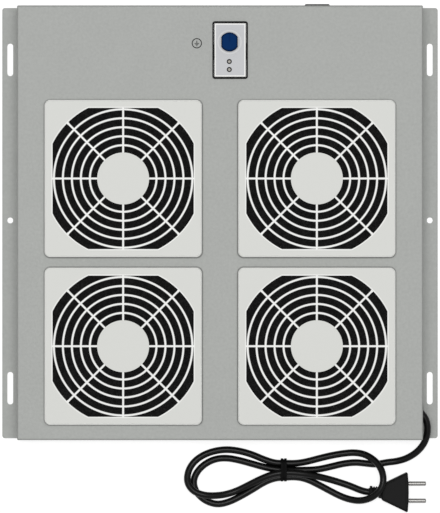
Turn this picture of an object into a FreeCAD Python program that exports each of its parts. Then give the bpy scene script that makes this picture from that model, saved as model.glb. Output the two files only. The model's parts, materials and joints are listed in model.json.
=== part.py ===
import FreeCAD, Part
import math
import os

# Rack fan tray: a folded steel pan for a 19 inch cabinet with four filter guards, four axial
# fans, a thermostat and a mains lead. Millimetres. X runs across the tray, Y from the front
# (lead side) to the rear (thermostat side), Z up out of the face. The underside of the two
# rail flanges and of the end walls is z = 0, and the origin is the bottom centre of the tray.

# ---- rack format, folded pan and rails ----------------------------------------------------
# The tray is 482.6 over its flanges and 477 long, which its contents and margins add up to.
rail_inset = 8.75             # hole rows from the outer edges, for rails 465.1 mm apart
flange_width = 18.8           # each rail flange, beyond the side wall
body_height = 44.0            # one rack unit, with play
sheet = 1.5                   # steel thickness
bend_inside = 1.0             # inside radius of every fold
flange_corner = 3.0           # rounded corners of the rail flanges
corner_slit = 0.6             # gap between an end wall and a rail
seam_round = 1.2              # ground weld along the face's long edges
slot_width = 6.5              # rail slots for M6
slot_length = 36.0
slot_pitch = 364.0            # along one flange
slot_row_y = -1.5             # middle of the slot pair
rail_hole_y = 2.5             # the single round hole between the slots

# ---- fan and guard grid -------------------------------------------------------------------
fan_size = 172.0              # side of a guard, and diameter of the fan below it
side_margin = 30.6            # guards to the side walls
column_gap = 39.8             # between neighbouring guards across the tray
row_gap = 11.4                # and along it
front_margin = 17.4           # front wall to the first guards
rear_margin = 104.2           # last guards to the rear wall
face_hole_margin = 2.0        # air hole in the face beyond the fan's bore
fan_screw_inset = 5.0         # screw circle inside the fan's edge
screw_hole_radius = 2.25

# ---- axial fan, 172 x 150 x 38 ------------------------------------------------------------
fan_flat_inset = 11.0         # each of the two flats, from the full circle
fan_depth = 38.0
fan_wall = 2.0
fan_flange = 5.0              # thickness of the two mounting flanges
mouth_round = 1.6             # rounded lip of the air inlet
strut_count = 5
strut_width = 6.0
strut_depth = 5.0
strut_sweep = 22.0            # degrees that a strut trails between hub and housing
strut_bow = 4.0               # hollow of its curve
strut_root = 4.0              # how far it reaches in under the motor plate's edge
strut_bite = 1.0              # and into the housing's wall
strut_clearance = 2.0         # blades above the struts
motor_plate_radius = 37.0
motor_plate = 3.0
bearing_radius = 8.0          # 5 x 16 x 5 ball bearings
bearing_width = 5.0
bearing_seat_gap = 0.02
tube_wall = 2.0
tube_length = 25.0
shaft_radius = 2.5
shaft_gap = 0.03              # running clearance of shaft in bearing
stator_gap = 0.05
air_gap = 0.6
slot_count = 8                # stator slots
slot_mouth = 4.0
slot_depth_share = 0.6        # of the stator's radial depth
stator_foot = 1.0             # stator above the cup's rim
stator_headroom = 2.0         # and below the end of the bearing tube
cup_radius = 36.0
cup_wall = 2.4
cup_chamfer = 3.0
cup_clearance = 3.0           # cup rim above the motor plate
rotor_drop = 2.0              # cup and blades below the inlet plane
blade_count = 5
blade_tip_gap = 2.0
blade_thickness = 1.8
blade_edge = 0.4              # thickness of leading and trailing edge
# Blade stations as chord, pitch, camber and backward turn.
blade_root = (34.0, 46.0, 3.0, 0.0)
blade_middle = (46.0, 36.0, 4.5, -7.0)
blade_tip = (58.0, 27.0, 5.0, -19.0)
blade_bite = 1.0              # blade roots reach into the cup's wall
hub_boss_radius = 6.0
hub_boss = 4.0
shaft_foot_gap = 0.6          # shaft's end above the motor plate
shaft_chamfer = 0.4

# ---- filter guard -------------------------------------------------------------------------
guard_corner = 6.0
guard_height = 11.0           # top of the cover above the face
guard_skin = 1.9              # wall of the cover's skirt
guard_top = 2.7               # thickness of the cover's front
guard_edge_round = 1.6
cover_lift_gap = 0.3          # skirt above the face
cover_fit = 0.3               # skirt to base, each side
window_frame = 8.8            # frame of the cover round its window
window_spread = 0.1           # circle that cuts the window's corners, beyond half the side
ring_count = 5
ring_first = 36.4
ring_last_inset = 1.48        # last ring's middle from the window's side
ring_width = 2.7
spoke_count = 8
spoke_width = 2.6
hub_disc_radius = 28.4
grille_sink = 0.5             # rings and spokes lie this much below the cover's front
grille_depth = 2.0
spoke_bite = 0.5              # spokes reach this far into the window's frame
base_plate = 2.5
base_rim = 1.6
base_rim_height = 7.3
base_rib_width = 3.0
pad_thickness = 5.0
pad_gap = 0.3

# ---- guard fasteners, M4 ------------------------------------------------------------------
m4_radius = 2.0
m4_head_radius = 3.9
m4_head_depth = 2.2
m4_slot = 1.0
m4_slot_depth = 1.0
m4_end = 1.0                  # thread seen below the nut
m4_nut_flats = 7.0
m4_nut_height = 3.2
thread_gap = 0.05

# ---- fan thermostat -----------------------------------------------------------------------
thermostat_x = 11.1
thermostat_margin = 19.5      # to the rear wall
thermostat_width = 35.0
thermostat_length = 59.4
thermostat_proud = 2.0        # front above the face
thermostat_bottom = 5.0
thermostat_corner = 1.5
thermostat_chamfer = 1.0
thermostat_step = 16.0        # height of the broad rear shoulder
thermostat_waist = 3.0        # how far the terminal shoulders step in
bezel_margin = 1.95           # black edge seen round the thermostat
bezel_height = 1.2
bezel_collar = 1.4            # reaches into the face's cut-out
bezel_fit = 0.15
bezel_round = 0.5
bezel_corner = 2.85
collar_wall = 0.9
knob_offset_x = -0.7
knob_offset_y = 8.7
knob_radius = 10.4
knob_flats = 17.8
knob_height = 4.2
knob_gap = 0.3
knob_groove = 1.4
knob_groove_depth = 0.8
knob_chamfer = 0.8
spindle_radius = 3.0
spindle_gap = 0.05
spindle_length = 9.0
terminal_offset_x = -0.9
terminal_offsets_y = (-12.6, -21.4)
terminal_radius = 2.5
terminal_well_gap = 0.3
terminal_sink = 1.2
terminal_length = 8.0
terminal_floor = 0.2          # under each terminal screw
terminal_slot = 0.9
terminal_slot_depth = 1.0
terminal_turns = (-75.8, -146.2)
wire_hole_radius = 2.0
wire_hole_depth = 9.0
wire_hole_drop = 6.0          # below the shoulder
strap_thickness = 1.2
strap_width = 18.0
strap_ear = 11.5
strap_gap = 0.3
strap_hole_place = 7.15       # hole from the strap's upright
strap_ear_fold = 0.4          # inside radius where an ear turns out
strap_low_fold = 0.4          # and at the foot of each upright

# ---- studs and nuts under the face --------------------------------------------------------
stud_radius = 1.5             # M3 weld studs
stud_nut_flats = 5.5
stud_nut_height = 2.4
stud_end = 1.5                # thread seen below the nut
stud_hole_gap = 0.15
earth_gap = 1.0               # washer to the thermostat's strap
earth_margin = 41.7           # stud to the rear wall
earth_radius = 2.5            # M5 earth stud
earth_length = 18.0
earth_nut_flats = 8.0
earth_nut_height = 4.0
earth_washer_radius = 5.0
earth_washer = 1.0
earth_lug_space = 1.0
earth_chamfer = 0.5

# ---- terminal block and lead fixing -------------------------------------------------------
block_margin = 6.5            # to the right wall's outside
block_from_front = 111.0      # middle of the block to the front wall
block_poles = 3
pole_pitch = 10.0
pole_radius = 4.6
block_length = 20.0
block_height = 13.0
block_base = 3.0
block_corner = 1.0
tower_corner = 2.5
pole_bore_radius = 2.2
pole_bore_drop = 2.0          # wire entries below the lead's line
pole_screw_radius = 1.7
pole_screw_spacing = 9.0
pole_screw_gap = 0.3
pole_screw_sink = 1.0
pole_screw_length = 3.0
pole_screw_slot = 0.6
pole_screw_slot_depth = 0.6
block_foot = 9.0              # base beyond the poles, for the fixing stud
clamp_from_front = 89.0
clamp_length = 9.0
clamp_wall = 1.3
clamp_tab = 15.0
clamp_hole_place = 9.0        # hole from the lead's side
clamp_gap = 0.1

# ---- blanking plug in the rear wall -------------------------------------------------------
rear_plug_x = 107.0
rear_plug_width = 28.0
rear_plug_tall = 22.0
rear_plug_lip = 1.0           # proud of the rear wall
rear_plug_wall = 1.6
rear_plug_depth = 8.0
rear_plug_margin = 2.0        # lip beyond the cut-out
rear_plug_fit = 0.2
rear_plug_round = 0.6

# ---- mains lead ---------------------------------------------------------------------------
lead_radius = 3.8
grommet_from_front = 29.5
grommet_z = 20.0
grommet_length = 20.0         # slot in the side wall
grommet_height = 13.0
grommet_lip = 1.2
grommet_margin = 2.0
grommet_fit = 0.1
grommet_bore_gap = 0.3
grommet_bore = 24.0           # length of the slanting bore's cutter
grommet_flare = 1.4           # widening of its outer half, for the lead's bend
exit_heading = 46.0           # degrees off the wall, towards the front
straight_half = 5.0           # straight part of the lead each side of the wall's middle
bend_share = 0.45             # of each straight run, given to the bend at its end

tie_x = 70.5
tie_width = 6.5
tie_wall = 1.2
tie_groove = 0.9
tie_groove_width = 1.2
tie_y = -273.6
waist_width = 22.8            # three strands side by side
waist_height = 14.4           # and one on top of them
waist_bottom = 1.3
waist_low_round = 3.4
waist_high_round = 4.5
hank_height = 15.2            # two strands on each other
hank_raised_top = 23.0        # the loop's end lies over the plug's tail
raised_from_x = 158.0
ramp_length = 28.0
entry_length = 12.0           # of the free lead, run into the hank

relief_x = 165.8
relief_length = 12.7
relief_collar_radius = 7.0
relief_collar = 3.0
relief_neck_radius = 5.6
relief_flare = 3.0            # length of the flare at the plug
relief_gap = 0.3

plug_axis_y = -298.3
plug_length = 30.5
plug_rear_width = 17.6
plug_front_width = 44.0
plug_thickness = 15.0
plug_bow = 1.6                # the front face is slightly bowed
plug_round = 3.0
plug_rear_corner = 1.5
plug_front_corner = 2.0
plug_bow_radius = 120.0
pin_radius = 2.4
pin_spacing = 19.0
pin_length = 19.0
pin_seat = 7.5
pin_root_radius = 1.8         # thinner root moulded into the plug
pin_tip = 1.2

# ---- hank outline, as (x, y) round the tied figure of eight ---------------------------------
hank_outside = (
    (tie_x, tie_y + waist_width / 2),
    (40.5, -255.4), (15.1, -248.2), (-6.2, -248.4), (-29.1, -260.1), (-39.3, -279.8),
    (-34.2, -299.5), (-12.1, -315.3), (13.3, -310.5), (40.5, -294.9),
    (tie_x, tie_y - waist_width / 2),
    (96.8, -287.7), (124.4, -302.4), (144.2, -310.8), (163.2, -309.8), (178.3, -302.5),
    (184.3, -284.2), (176.6, -261.4), (160.1, -252.4), (138.2, -251.4), (110.7, -256.9),
)
hank_left_eye = (
    (58.5, -274.0), (40.5, -272.2), (15.1, -266.5), (-3.7, -267.1), (-20.6, -278.3),
    (-24.0, -290.9), (-12.1, -297.6), (10.8, -296.5), (32.0, -288.4), (49.0, -279.2),
)
hank_right_eye = (
    (107.6, -277.1), (128.9, -272.6), (153.7, -269.7), (169.7, -274.1), (174.6, -281.8),
    (168.0, -287.8), (156.9, -289.4), (144.2, -285.9), (119.8, -279.9),
)

# ---- values that follow -------------------------------------------------------------------
body_width = 2 * fan_size + column_gap + 2 * side_margin
body_length = front_margin + 2 * fan_size + row_gap + rear_margin
tray_y = -rear_plug_lip / 2                     # keeps the origin in the middle of the box
face_top = body_height
face_under = body_height - sheet
fold_outside = bend_inside + sheet
wall_x = body_width / 2
front_y = tray_y - body_length / 2
rear_y = tray_y + body_length / 2
flange_x = wall_x + flange_width
rail_x = flange_x - rail_inset
fan_radius = fan_size / 2
fan_flat = fan_size - 2 * fan_flat_inset
fan_bore_radius = fan_flat / 2 - fan_wall
face_hole_radius = fan_bore_radius + face_hole_margin
fan_top = face_under
fan_bottom = fan_top - fan_depth
column_x = (fan_size + column_gap) / 2
front_row_y = front_y + front_margin + fan_radius
rear_row_y = front_row_y + fan_size + row_gap
fan_centres = [
    (column * column_x, row_y)
    for row_y in (rear_row_y, front_row_y)
    for column in (-1, 1)
]
screw_offset = (fan_radius - fan_screw_inset) * math.sqrt(0.5)
screw_offsets = [
    (column * screw_offset, row * screw_offset)
    for row in (1, -1)
    for column in (-1, 1)
]
bearing_tube_radius = bearing_radius + bearing_seat_gap + tube_wall
plate_top = fan_bottom + motor_plate
tube_top = plate_top + tube_length
cup_top = fan_top - rotor_drop
cup_bottom = plate_top + cup_clearance
cup_inside = cup_radius - cup_wall
stator_radius = cup_inside - air_gap
stator_bottom = cup_bottom + stator_foot
stator_top = tube_top - stator_headroom
blade_bottom = fan_bottom + strut_depth + strut_clearance
blade_tip_radius = fan_bore_radius - blade_tip_gap
cover_top = face_top + guard_height
base_side = fan_size - 2 * (guard_skin + cover_fit)
window_side = fan_size - 2 * window_frame
window_radius = fan_size / 2 + window_spread
ring_pitch = (window_side / 2 - ring_last_inset - ring_first) / (ring_count - 1)
ring_radii = [ring_first + step * ring_pitch for step in range(ring_count)]
base_top = face_top + base_plate
pad_side = base_side - 2 * (base_rim + pad_gap)
pad_bottom = base_top + pad_gap
thermostat_y = rear_y - thermostat_margin - thermostat_length / 2
thermostat_top = face_top + thermostat_proud
collar_width = thermostat_width + 2 * (bezel_fit + collar_wall)
collar_length = thermostat_length + 2 * (bezel_fit + collar_wall)
knob_x = thermostat_x + knob_offset_x
knob_y = thermostat_y + knob_offset_y
knob_bottom = thermostat_top + knob_gap
strap_outside = thermostat_width / 2 + strap_gap + strap_thickness
strap_end = strap_outside + strap_ear
strap_stud_x = strap_outside + strap_hole_place
earth_x = thermostat_x - strap_end - earth_gap - earth_washer_radius
earth_y = rear_y - earth_margin
block_x = wall_x - block_margin - block_poles * pole_pitch / 2
block_y = front_y + block_from_front
clamp_y = front_y + clamp_from_front
grommet_y = front_y + grommet_from_front
lead_ceiling = face_under - clamp_wall - clamp_gap - lead_radius
clamp_stud_x = block_x - lead_radius - clamp_hole_place
block_stud_y = block_y + (block_length + block_foot) / 2
plug_rear_x = relief_x + relief_length
plug_front_x = plug_rear_x + plug_length
plug_axis_z = plug_thickness / 2
heading_x = math.sin(math.radians(exit_heading))
heading_y = -math.cos(math.radians(exit_heading))
wall_middle_x = wall_x - sheet / 2

# Points of the free lead, from inside the grommet round to the hank. The first run goes
# straight through the grommet, and the lead then falls to the floor beside the flange.
lead_start = (
    wall_middle_x - straight_half * heading_x,
    grommet_y - straight_half * heading_y,
    grommet_z,
)
lead_route = [
    lead_start,
    (wall_middle_x + straight_half * heading_x, grommet_y + straight_half * heading_y, grommet_z),
    (229.6, -222.0, 19.2),
    (230.4, -233.0, 17.4),
    (226.7, -244.4, 14.6),
    (218.3, -254.4, 11.0),
    (206.2, -261.4, 6.8),
    (194.5, -264.6, lead_radius),
    (185.5, -265.4, lead_radius),
]

# Points of the lead inside the tray, from the terminal block to the free lead.
inner_route = [
    (block_x, block_y - block_length / 2, lead_ceiling),
    (block_x, clamp_y - 8, lead_ceiling),
    (block_x + 0.5, grommet_y + 35.5, 32.0),
    (block_x + 3.5, grommet_y + 21, 24.5),
    (
        lead_start[0] - 2 * straight_half * heading_x,
        lead_start[1] - 2 * straight_half * heading_y,
        grommet_z,
    ),
    lead_start,
]


# ---- shared geometry ----------------------------------------------------------------------
def point(x, y, z=0.0):
    return FreeCAD.Vector(x, y, z)


def outline(corners):
    """Closed wire in the XY plane through (x, y, radius) corners, each rounded."""
    rounded = []
    for index, (x, y, radius) in enumerate(corners):
        here = point(x, y)
        following = corners[(index + 1) % len(corners)]
        back = (point(*corners[index - 1][:2]) - here).normalize()
        ahead = (point(*following[:2]) - here).normalize()
        half = back.getAngle(ahead) / 2
        reach = radius / math.tan(half)
        inward = (back + ahead).normalize()
        middle = here + inward * (radius / math.sin(half) - radius)
        rounded.append((here + back * reach, middle, here + ahead * reach, radius))
    edges = []
    for index, (start, middle, end, radius) in enumerate(rounded):
        if radius > 0:
            edges.append(Part.Arc(start, middle, end).toShape())
        next_start = rounded[(index + 1) % len(rounded)][0]
        if end.distanceToPoint(next_start) > 1e-6:
            edges.append(Part.LineSegment(end, next_start).toShape())
    return Part.Wire(edges)


def prism(corners, bottom, height):
    """Solid that stands on a rounded outline."""
    solid = Part.Face(outline(corners)).extrude(point(0, 0, height))
    solid.translate(point(0, 0, bottom))
    return solid


def block(width, length, bottom, height, corner=0.0, x=0.0, y=0.0):
    """Upright rectangular solid with rounded vertical edges, centred on x, y."""
    across = width / 2
    along = length / 2
    corners = [
        (x - across, y - along, corner),
        (x + across, y - along, corner),
        (x + across, y + along, corner),
        (x - across, y + along, corner),
    ]
    return prism(corners, bottom, height)


def cylinder(radius, bottom, height, x=0.0, y=0.0):
    return Part.makeCylinder(radius, height, point(x, y, bottom))


def tube(outer, inner, bottom, height, x=0.0, y=0.0):
    return cylinder(outer, bottom, height, x, y).cut(cylinder(inner, bottom, height, x, y))


def stadium(width, length, bottom, height, x=0.0, y=0.0):
    """Upright slot shape, long along Y, with half-round ends."""
    return block(width, length, bottom, height, width / 2 - 0.001, x, y)


def lathe(profile):
    """Solid of revolution about Z from (radius, height) corners."""
    corners = [point(radius, 0, height) for radius, height in profile]
    wire = Part.makePolygon(corners + corners[:1])
    return Part.Face(wire).revolve(point(0, 0, 0), point(0, 0, 1), 360)


def hexagon(flats, bottom, height, x=0.0, y=0.0):
    across_corners = flats / math.cos(math.pi / 6)
    corners = []
    for step in range(6):
        angle = math.radians(60 * step)
        corner_x = x + across_corners / 2 * math.cos(angle)
        corner_y = y + across_corners / 2 * math.sin(angle)
        corners.append((corner_x, corner_y, 0.0))
    return prism(corners, bottom, height)


def upright_section(corners, start, length):
    """Section drawn as (x, z, radius), run along Y from start."""
    solid = Part.Face(outline(corners)).extrude(point(0, 0, -length))
    solid.rotate(point(0, 0, 0), point(1, 0, 0), 90)
    solid.translate(point(0, start, 0))
    return solid


def turned(shape, angle, x=0.0, y=0.0):
    copy = shape.copy()
    copy.rotate(point(x, y, 0), point(0, 0, 1), angle)
    return copy


def moved(shape, x, y, z=0.0):
    copy = shape.copy()
    copy.translate(point(x, y, z))
    return copy


def fused(shapes):
    whole = shapes[0].multiFuse(shapes[1:])
    return whole.removeSplitter()


def group(shapes):
    """Separate solids that share one node."""
    return Part.makeCompound(shapes)


def lead_tube(route, name):
    """Round lead along straight runs joined by tangent arcs."""
    corners = [point(*place) for place in route]
    runs = [(b - a).Length for a, b in zip(corners, corners[1:])]
    edges = []
    radii = []
    start = corners[0]
    for index in range(1, len(corners) - 1):
        here = corners[index]
        back = (corners[index - 1] - here).normalize()
        ahead = (corners[index + 1] - here).normalize()
        half_inside = back.getAngle(ahead) / 2
        reach = bend_share * min(runs[index - 1], runs[index])
        radius = reach * math.tan(half_inside)
        inward = (back + ahead).normalize()
        middle = here + inward * (radius / math.sin(half_inside) - radius)
        arc_start = here + back * reach
        arc_end = here + ahead * reach
        edges.append(Part.LineSegment(start, arc_start).toShape())
        edges.append(Part.Arc(arc_start, middle, arc_end).toShape())
        radii.append(radius)
        start = arc_end
    edges.append(Part.LineSegment(start, corners[-1]).toShape())
    path = Part.Wire(edges)
    first = (corners[1] - corners[0]).normalize()
    section = Part.Wire([Part.Circle(corners[0], first, lead_radius).toShape()])
    solid = path.makePipeShell([section], True, False)
    expected = math.pi * lead_radius ** 2 * path.Length
    print(name, "length", round(path.Length, 1), "volume/expected", round(solid.Volume / expected, 4))
    print(name, "radii", [round(radius, 1) for radius in radii])
    return solid


def save(shape, name):
    solids = len(shape.Solids)
    print(f"{name}: {solids} solid(s), {shape.Volume / 1000:.2f} cm3, valid {shape.isValid()}")
    shape.exportStep(f"parts/{name}.step")


# ---- folded pan and rack rails ------------------------------------------------------------
def chassis_pan():
    """Face with its two end walls, each folded down along the whole width."""
    pan = upright_section([
        (front_y, 0, 0),
        (front_y, body_height, fold_outside),
        (rear_y, body_height, fold_outside),
        (rear_y, 0, 0),
        (rear_y - sheet, 0, 0),
        (rear_y - sheet, face_under, bend_inside),
        (front_y + sheet, face_under, bend_inside),
        (front_y + sheet, 0, 0),
    ], -wall_x, body_width)
    pan.rotate(point(0, 0, 0), point(0, 0, 1), 90)

    cutters = []
    for fan_x, fan_y in fan_centres:
        cutters.append(cylinder(face_hole_radius, face_under - 1, sheet + 2, fan_x, fan_y))
        for dx, dy in screw_offsets:
            hole = cylinder(screw_hole_radius, face_under - 1, sheet + 2, fan_x + dx, fan_y + dy)
            cutters.append(hole)
    window = block(
        collar_width + 2 * bezel_fit, collar_length + 2 * bezel_fit,
        face_under - 1, sheet + 2, thermostat_corner, thermostat_x, thermostat_y,
    )
    cutters.append(window)
    rear_hole_width = rear_plug_width - 2 * rear_plug_margin
    rear_hole_tall = rear_plug_tall - 2 * rear_plug_margin
    rear_hole = Part.makeBox(
        rear_hole_width, sheet + 2, rear_hole_tall,
        point(rear_plug_x - rear_hole_width / 2, rear_y - sheet - 1,
              body_height / 2 - rear_hole_tall / 2),
    )
    cutters.append(rear_hole)
    pan = pan.cut(group(cutters))

    # The two long edges are seam welded to the rails and ground round.
    long_edges = []
    for edge in pan.Edges:
        box = edge.BoundBox
        along_face = box.YLength > body_length / 2 and box.ZMin > body_height - 0.01
        if along_face and abs(abs(box.Center.x) - wall_x) < 0.01:
            long_edges.append(edge)
    return pan.makeFillet(seam_round, long_edges)


def side_rail(side):
    """Side wall and rack flange in one fold, welded under the face between the end walls."""
    rail = upright_section([
        (wall_x - sheet, 0, fold_outside),
        (flange_x, 0, 0),
        (flange_x, sheet, 0),
        (wall_x, sheet, bend_inside),
        (wall_x, face_under, 0),
        (wall_x - sheet, face_under, 0),
    ], front_y, body_length)
    # The wall stops short of the end walls, and the flange runs on beside them.
    notch = 2 * (sheet + corner_slit)
    for end_y in (front_y, rear_y):
        rail = rail.cut(block(
            2 * (sheet + corner_slit), notch, -1, body_height + 1, 0,
            wall_x - sheet, end_y))
    if side < 0:
        rail = rail.mirror(point(0, 0, 0), point(1, 0, 0))
    cutters = [cylinder(slot_width / 2, -1, sheet + 2, side * rail_x, rail_hole_y)]
    for end in (-1, 1):
        slot_y = slot_row_y + end * slot_pitch / 2
        cutters.append(stadium(slot_width, slot_length, -1, sheet + 2, side * rail_x, slot_y))
    if side > 0:
        cutters.append(side_slot(grommet_length, grommet_height, wall_x - sheet - 1, sheet + 2))
    rail = rail.cut(group(cutters))

    # Round off the two free corners of the flange.
    corner_edges = []
    for edge in rail.Edges:
        box = edge.BoundBox
        upright = box.ZLength > sheet * 0.9 and box.ZMax < sheet + 0.01
        if upright and abs(abs(box.Center.x) - flange_x) < 0.01:
            corner_edges.append(edge)
    return rail.makeFillet(flange_corner, corner_edges)


def side_slot(length, height, start_x, depth):
    """Slot shape through the right wall at the grommet, long along Y."""
    corner = height / 2 - 0.001
    corners = [
        (-height / 2, -length / 2, corner),
        (height / 2, -length / 2, corner),
        (height / 2, length / 2, corner),
        (-height / 2, length / 2, corner),
    ]
    solid = prism(corners, 0, depth)
    solid.rotate(point(0, 0, 0), point(0, 1, 0), 90)
    solid.translate(point(start_x, grommet_y, grommet_z))
    return solid


# ---- axial fan ----------------------------------------------------------------------------
def flange_outline(bottom, height):
    """Round mounting flange with its two flats."""
    disc = cylinder(fan_radius, bottom, height)
    return disc.common(block(fan_flat, 2 * fan_radius + 2, bottom - 1, height + 2))


def fan_frame():
    lower = flange_outline(fan_bottom, fan_flange)
    upper = flange_outline(fan_top - fan_flange, fan_flange)
    barrel = cylinder(fan_bore_radius + fan_wall, fan_bottom, fan_depth)
    housing = fused([lower, upper, barrel])
    housing = housing.cut(cylinder(fan_bore_radius, fan_bottom - 1, fan_depth + 2))
    mouth = [
        edge for edge in housing.Edges
        if edge.Curve.TypeId == "Part::GeomCircle"
        and abs(edge.Curve.Radius - fan_bore_radius) < 0.01
        and abs(edge.BoundBox.ZMin - fan_top) < 0.01
    ]
    housing = housing.makeFillet(mouth_round, mouth)

    # Struts trail round from the motor plate to the housing, like a curved spider.
    inner_x = motor_plate_radius - strut_root
    outer_x = (fan_bore_radius + strut_bite) * math.cos(math.radians(strut_sweep))
    outer_y = (fan_bore_radius + strut_bite) * math.sin(math.radians(strut_sweep))
    middle_x = (inner_x + outer_x) / 2
    middle_y = outer_y / 2 - strut_bow
    half = strut_width / 2
    upper_side = Part.Arc(
        point(inner_x, half), point(middle_x, middle_y + half), point(outer_x, outer_y + half))
    lower_side = Part.Arc(
        point(outer_x, outer_y - half), point(middle_x, middle_y - half), point(inner_x, -half))
    strut_wire = Part.Wire([
        upper_side.toShape(),
        Part.LineSegment(point(outer_x, outer_y + half), point(outer_x, outer_y - half)).toShape(),
        lower_side.toShape(),
        Part.LineSegment(point(inner_x, -half), point(inner_x, half)).toShape(),
    ])
    strut = Part.Face(strut_wire).extrude(point(0, 0, strut_depth))
    strut.translate(point(0, 0, fan_bottom))
    struts = [turned(strut, step * 360 / strut_count) for step in range(strut_count)]
    plate = cylinder(motor_plate_radius, fan_bottom, motor_plate)
    bearing_tube = cylinder(bearing_tube_radius, fan_bottom, tube_top - fan_bottom)
    whole = fused([housing, plate, bearing_tube] + struts)
    seat = bearing_radius + bearing_seat_gap
    whole = whole.cut(cylinder(seat, plate_top, tube_length + 1))
    for dx, dy in screw_offsets:
        whole = whole.cut(cylinder(screw_hole_radius, fan_bottom - 1, fan_depth + 2, dx, dy))
    return whole


def fan_bearings():
    lower = tube(bearing_radius, shaft_radius + shaft_gap, plate_top, bearing_width)
    upper_bottom = tube_top - bearing_width
    upper = tube(bearing_radius, shaft_radius + shaft_gap, upper_bottom, bearing_width)
    return group([lower, upper])


def fan_stator():
    core = tube(
        stator_radius, bearing_tube_radius + stator_gap,
        stator_bottom, stator_top - stator_bottom,
    )
    depth = (stator_radius - bearing_tube_radius) * slot_depth_share
    cutter = block(
        depth * 2, slot_mouth, stator_bottom - 1, stator_top - stator_bottom + 2,
        0, stator_radius)
    slots = [turned(cutter, step * 360 / slot_count) for step in range(slot_count)]
    return core.cut(group(slots))


def blade_section(radius, station, height):
    """Thin cambered section square to the radius, turned back by the blade's sweep."""
    chord, pitch, camber, turn = station
    half = chord / 2
    half_thick = blade_thickness / 2
    edge = blade_edge / 2
    upper = Part.Arc(
        point(0, -half, edge), point(0, 0, camber + half_thick), point(0, half, edge))
    lower = Part.Arc(
        point(0, half, -edge), point(0, 0, camber - half_thick), point(0, -half, -edge))
    wire = Part.Wire([
        upper.toShape(),
        Part.LineSegment(point(0, half, edge), point(0, half, -edge)).toShape(),
        lower.toShape(),
        Part.LineSegment(point(0, -half, -edge), point(0, -half, edge)).toShape(),
    ])
    wire.rotate(point(0, 0, 0), point(1, 0, 0), pitch)
    wire.translate(point(radius, 0, height))
    wire.rotate(point(0, 0, 0), point(0, 0, 1), turn)
    return wire


def fan_rotor():
    cup = lathe([
        (shaft_radius + bearing_seat_gap, cup_top),
        (shaft_radius + bearing_seat_gap, cup_top - hub_boss),
        (hub_boss_radius, cup_top - hub_boss),
        (hub_boss_radius, cup_top - cup_wall),
        (cup_inside, cup_top - cup_wall),
        (cup_inside, cup_bottom),
        (cup_radius, cup_bottom),
        (cup_radius, cup_top - cup_chamfer),
        (cup_radius - cup_chamfer, cup_top),
    ])
    middle = (cup_top + blade_bottom) / 2
    blade = Part.makeLoft([
        blade_section(cup_radius - blade_bite, blade_root, middle),
        blade_section((cup_radius + fan_bore_radius) / 2, blade_middle, middle),
        blade_section(fan_bore_radius, blade_tip, middle),
    ], True)
    room = tube(
        blade_tip_radius, cup_inside + cup_wall / 2,
        blade_bottom, cup_top - blade_bottom,
    )
    blade = blade.common(room)
    blades = [turned(blade, step * 360 / blade_count) for step in range(blade_count)]
    return fused([cup] + blades)


def fan_shaft():
    length = cup_top - plate_top - shaft_foot_gap
    shaft = cylinder(shaft_radius, plate_top + shaft_foot_gap, length)
    return shaft.makeChamfer(shaft_chamfer, [edge for edge in shaft.Edges if edge.Closed])


# ---- filter guard -------------------------------------------------------------------------
def window_shape(bottom, height, grow=0.0):
    """Window of the cover: a square with its corners cut by a circle."""
    square = block(window_side + 2 * grow, window_side + 2 * grow, bottom, height)
    return square.common(cylinder(window_radius + grow, bottom, height))


def guard_base():
    plate = block(base_side, base_side, face_top, base_plate, guard_corner - guard_skin)
    rim = block(base_side, base_side, face_top, base_rim_height, guard_corner - guard_skin)
    rim_inside = base_side - 2 * base_rim
    rim = rim.cut(block(
        rim_inside, rim_inside, face_top - 1, base_rim_height + 2,
        guard_corner - guard_skin - base_rim,
    ))
    air = cylinder(face_hole_radius, face_top - 1, base_plate + 2)
    ribs = [
        block(2 * face_hole_radius + 2, base_rib_width, face_top, base_plate),
        block(base_rib_width, 2 * face_hole_radius + 2, face_top, base_plate),
        tube(hub_disc_radius, hub_disc_radius - base_rib_width, face_top, base_plate),
    ]
    base = fused([plate.cut(air), rim] + ribs)
    for dx, dy in screw_offsets:
        base = base.cut(moved(countersink(), dx, dy))
    return base


def countersink():
    """Hole for one guard screw, with room round its sunk head."""
    gap = screw_hole_radius - m4_radius
    return lathe([
        (0, face_top - 1),
        (screw_hole_radius, face_top - 1),
        (screw_hole_radius, base_top - m4_head_depth),
        (m4_head_radius + gap, base_top),
        (m4_head_radius + gap, base_top + 1),
        (0, base_top + 1),
    ])


def filter_pad():
    return block(
        pad_side, pad_side, pad_bottom, pad_thickness, guard_corner - guard_skin - base_rim)


def guard_cover():
    skirt_bottom = face_top + cover_lift_gap
    shell = block(fan_size, fan_size, skirt_bottom, cover_top - skirt_bottom, guard_corner)
    rim_edges = [edge for edge in shell.Edges if edge.BoundBox.ZMin > cover_top - 0.01]
    shell = shell.makeFillet(guard_edge_round, rim_edges)
    inside = fan_size - 2 * guard_skin
    hollow_height = cover_top - guard_top - skirt_bottom + 1
    shell = shell.cut(block(
        inside, inside, skirt_bottom - 1, hollow_height, guard_corner - guard_skin))
    shell = shell.cut(window_shape(cover_top - guard_top - 1, guard_top + 2))
    grille_top = cover_top - grille_sink
    grille_bottom = grille_top - grille_depth
    pieces = [shell, cylinder(hub_disc_radius, grille_bottom, cover_top - grille_bottom)]
    for radius in ring_radii:
        ring = tube(radius + ring_width / 2, radius - ring_width / 2, grille_bottom, grille_depth)
        pieces.append(ring)
    reach = 2 * window_radius + 1
    reach_room = window_shape(grille_bottom, grille_depth, spoke_bite)
    for step in range(spoke_count // 2):
        spoke = block(reach, spoke_width, grille_bottom, grille_depth)
        pieces.append(turned(spoke, step * 360 / spoke_count).common(reach_room))
    return fused(pieces)


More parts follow.
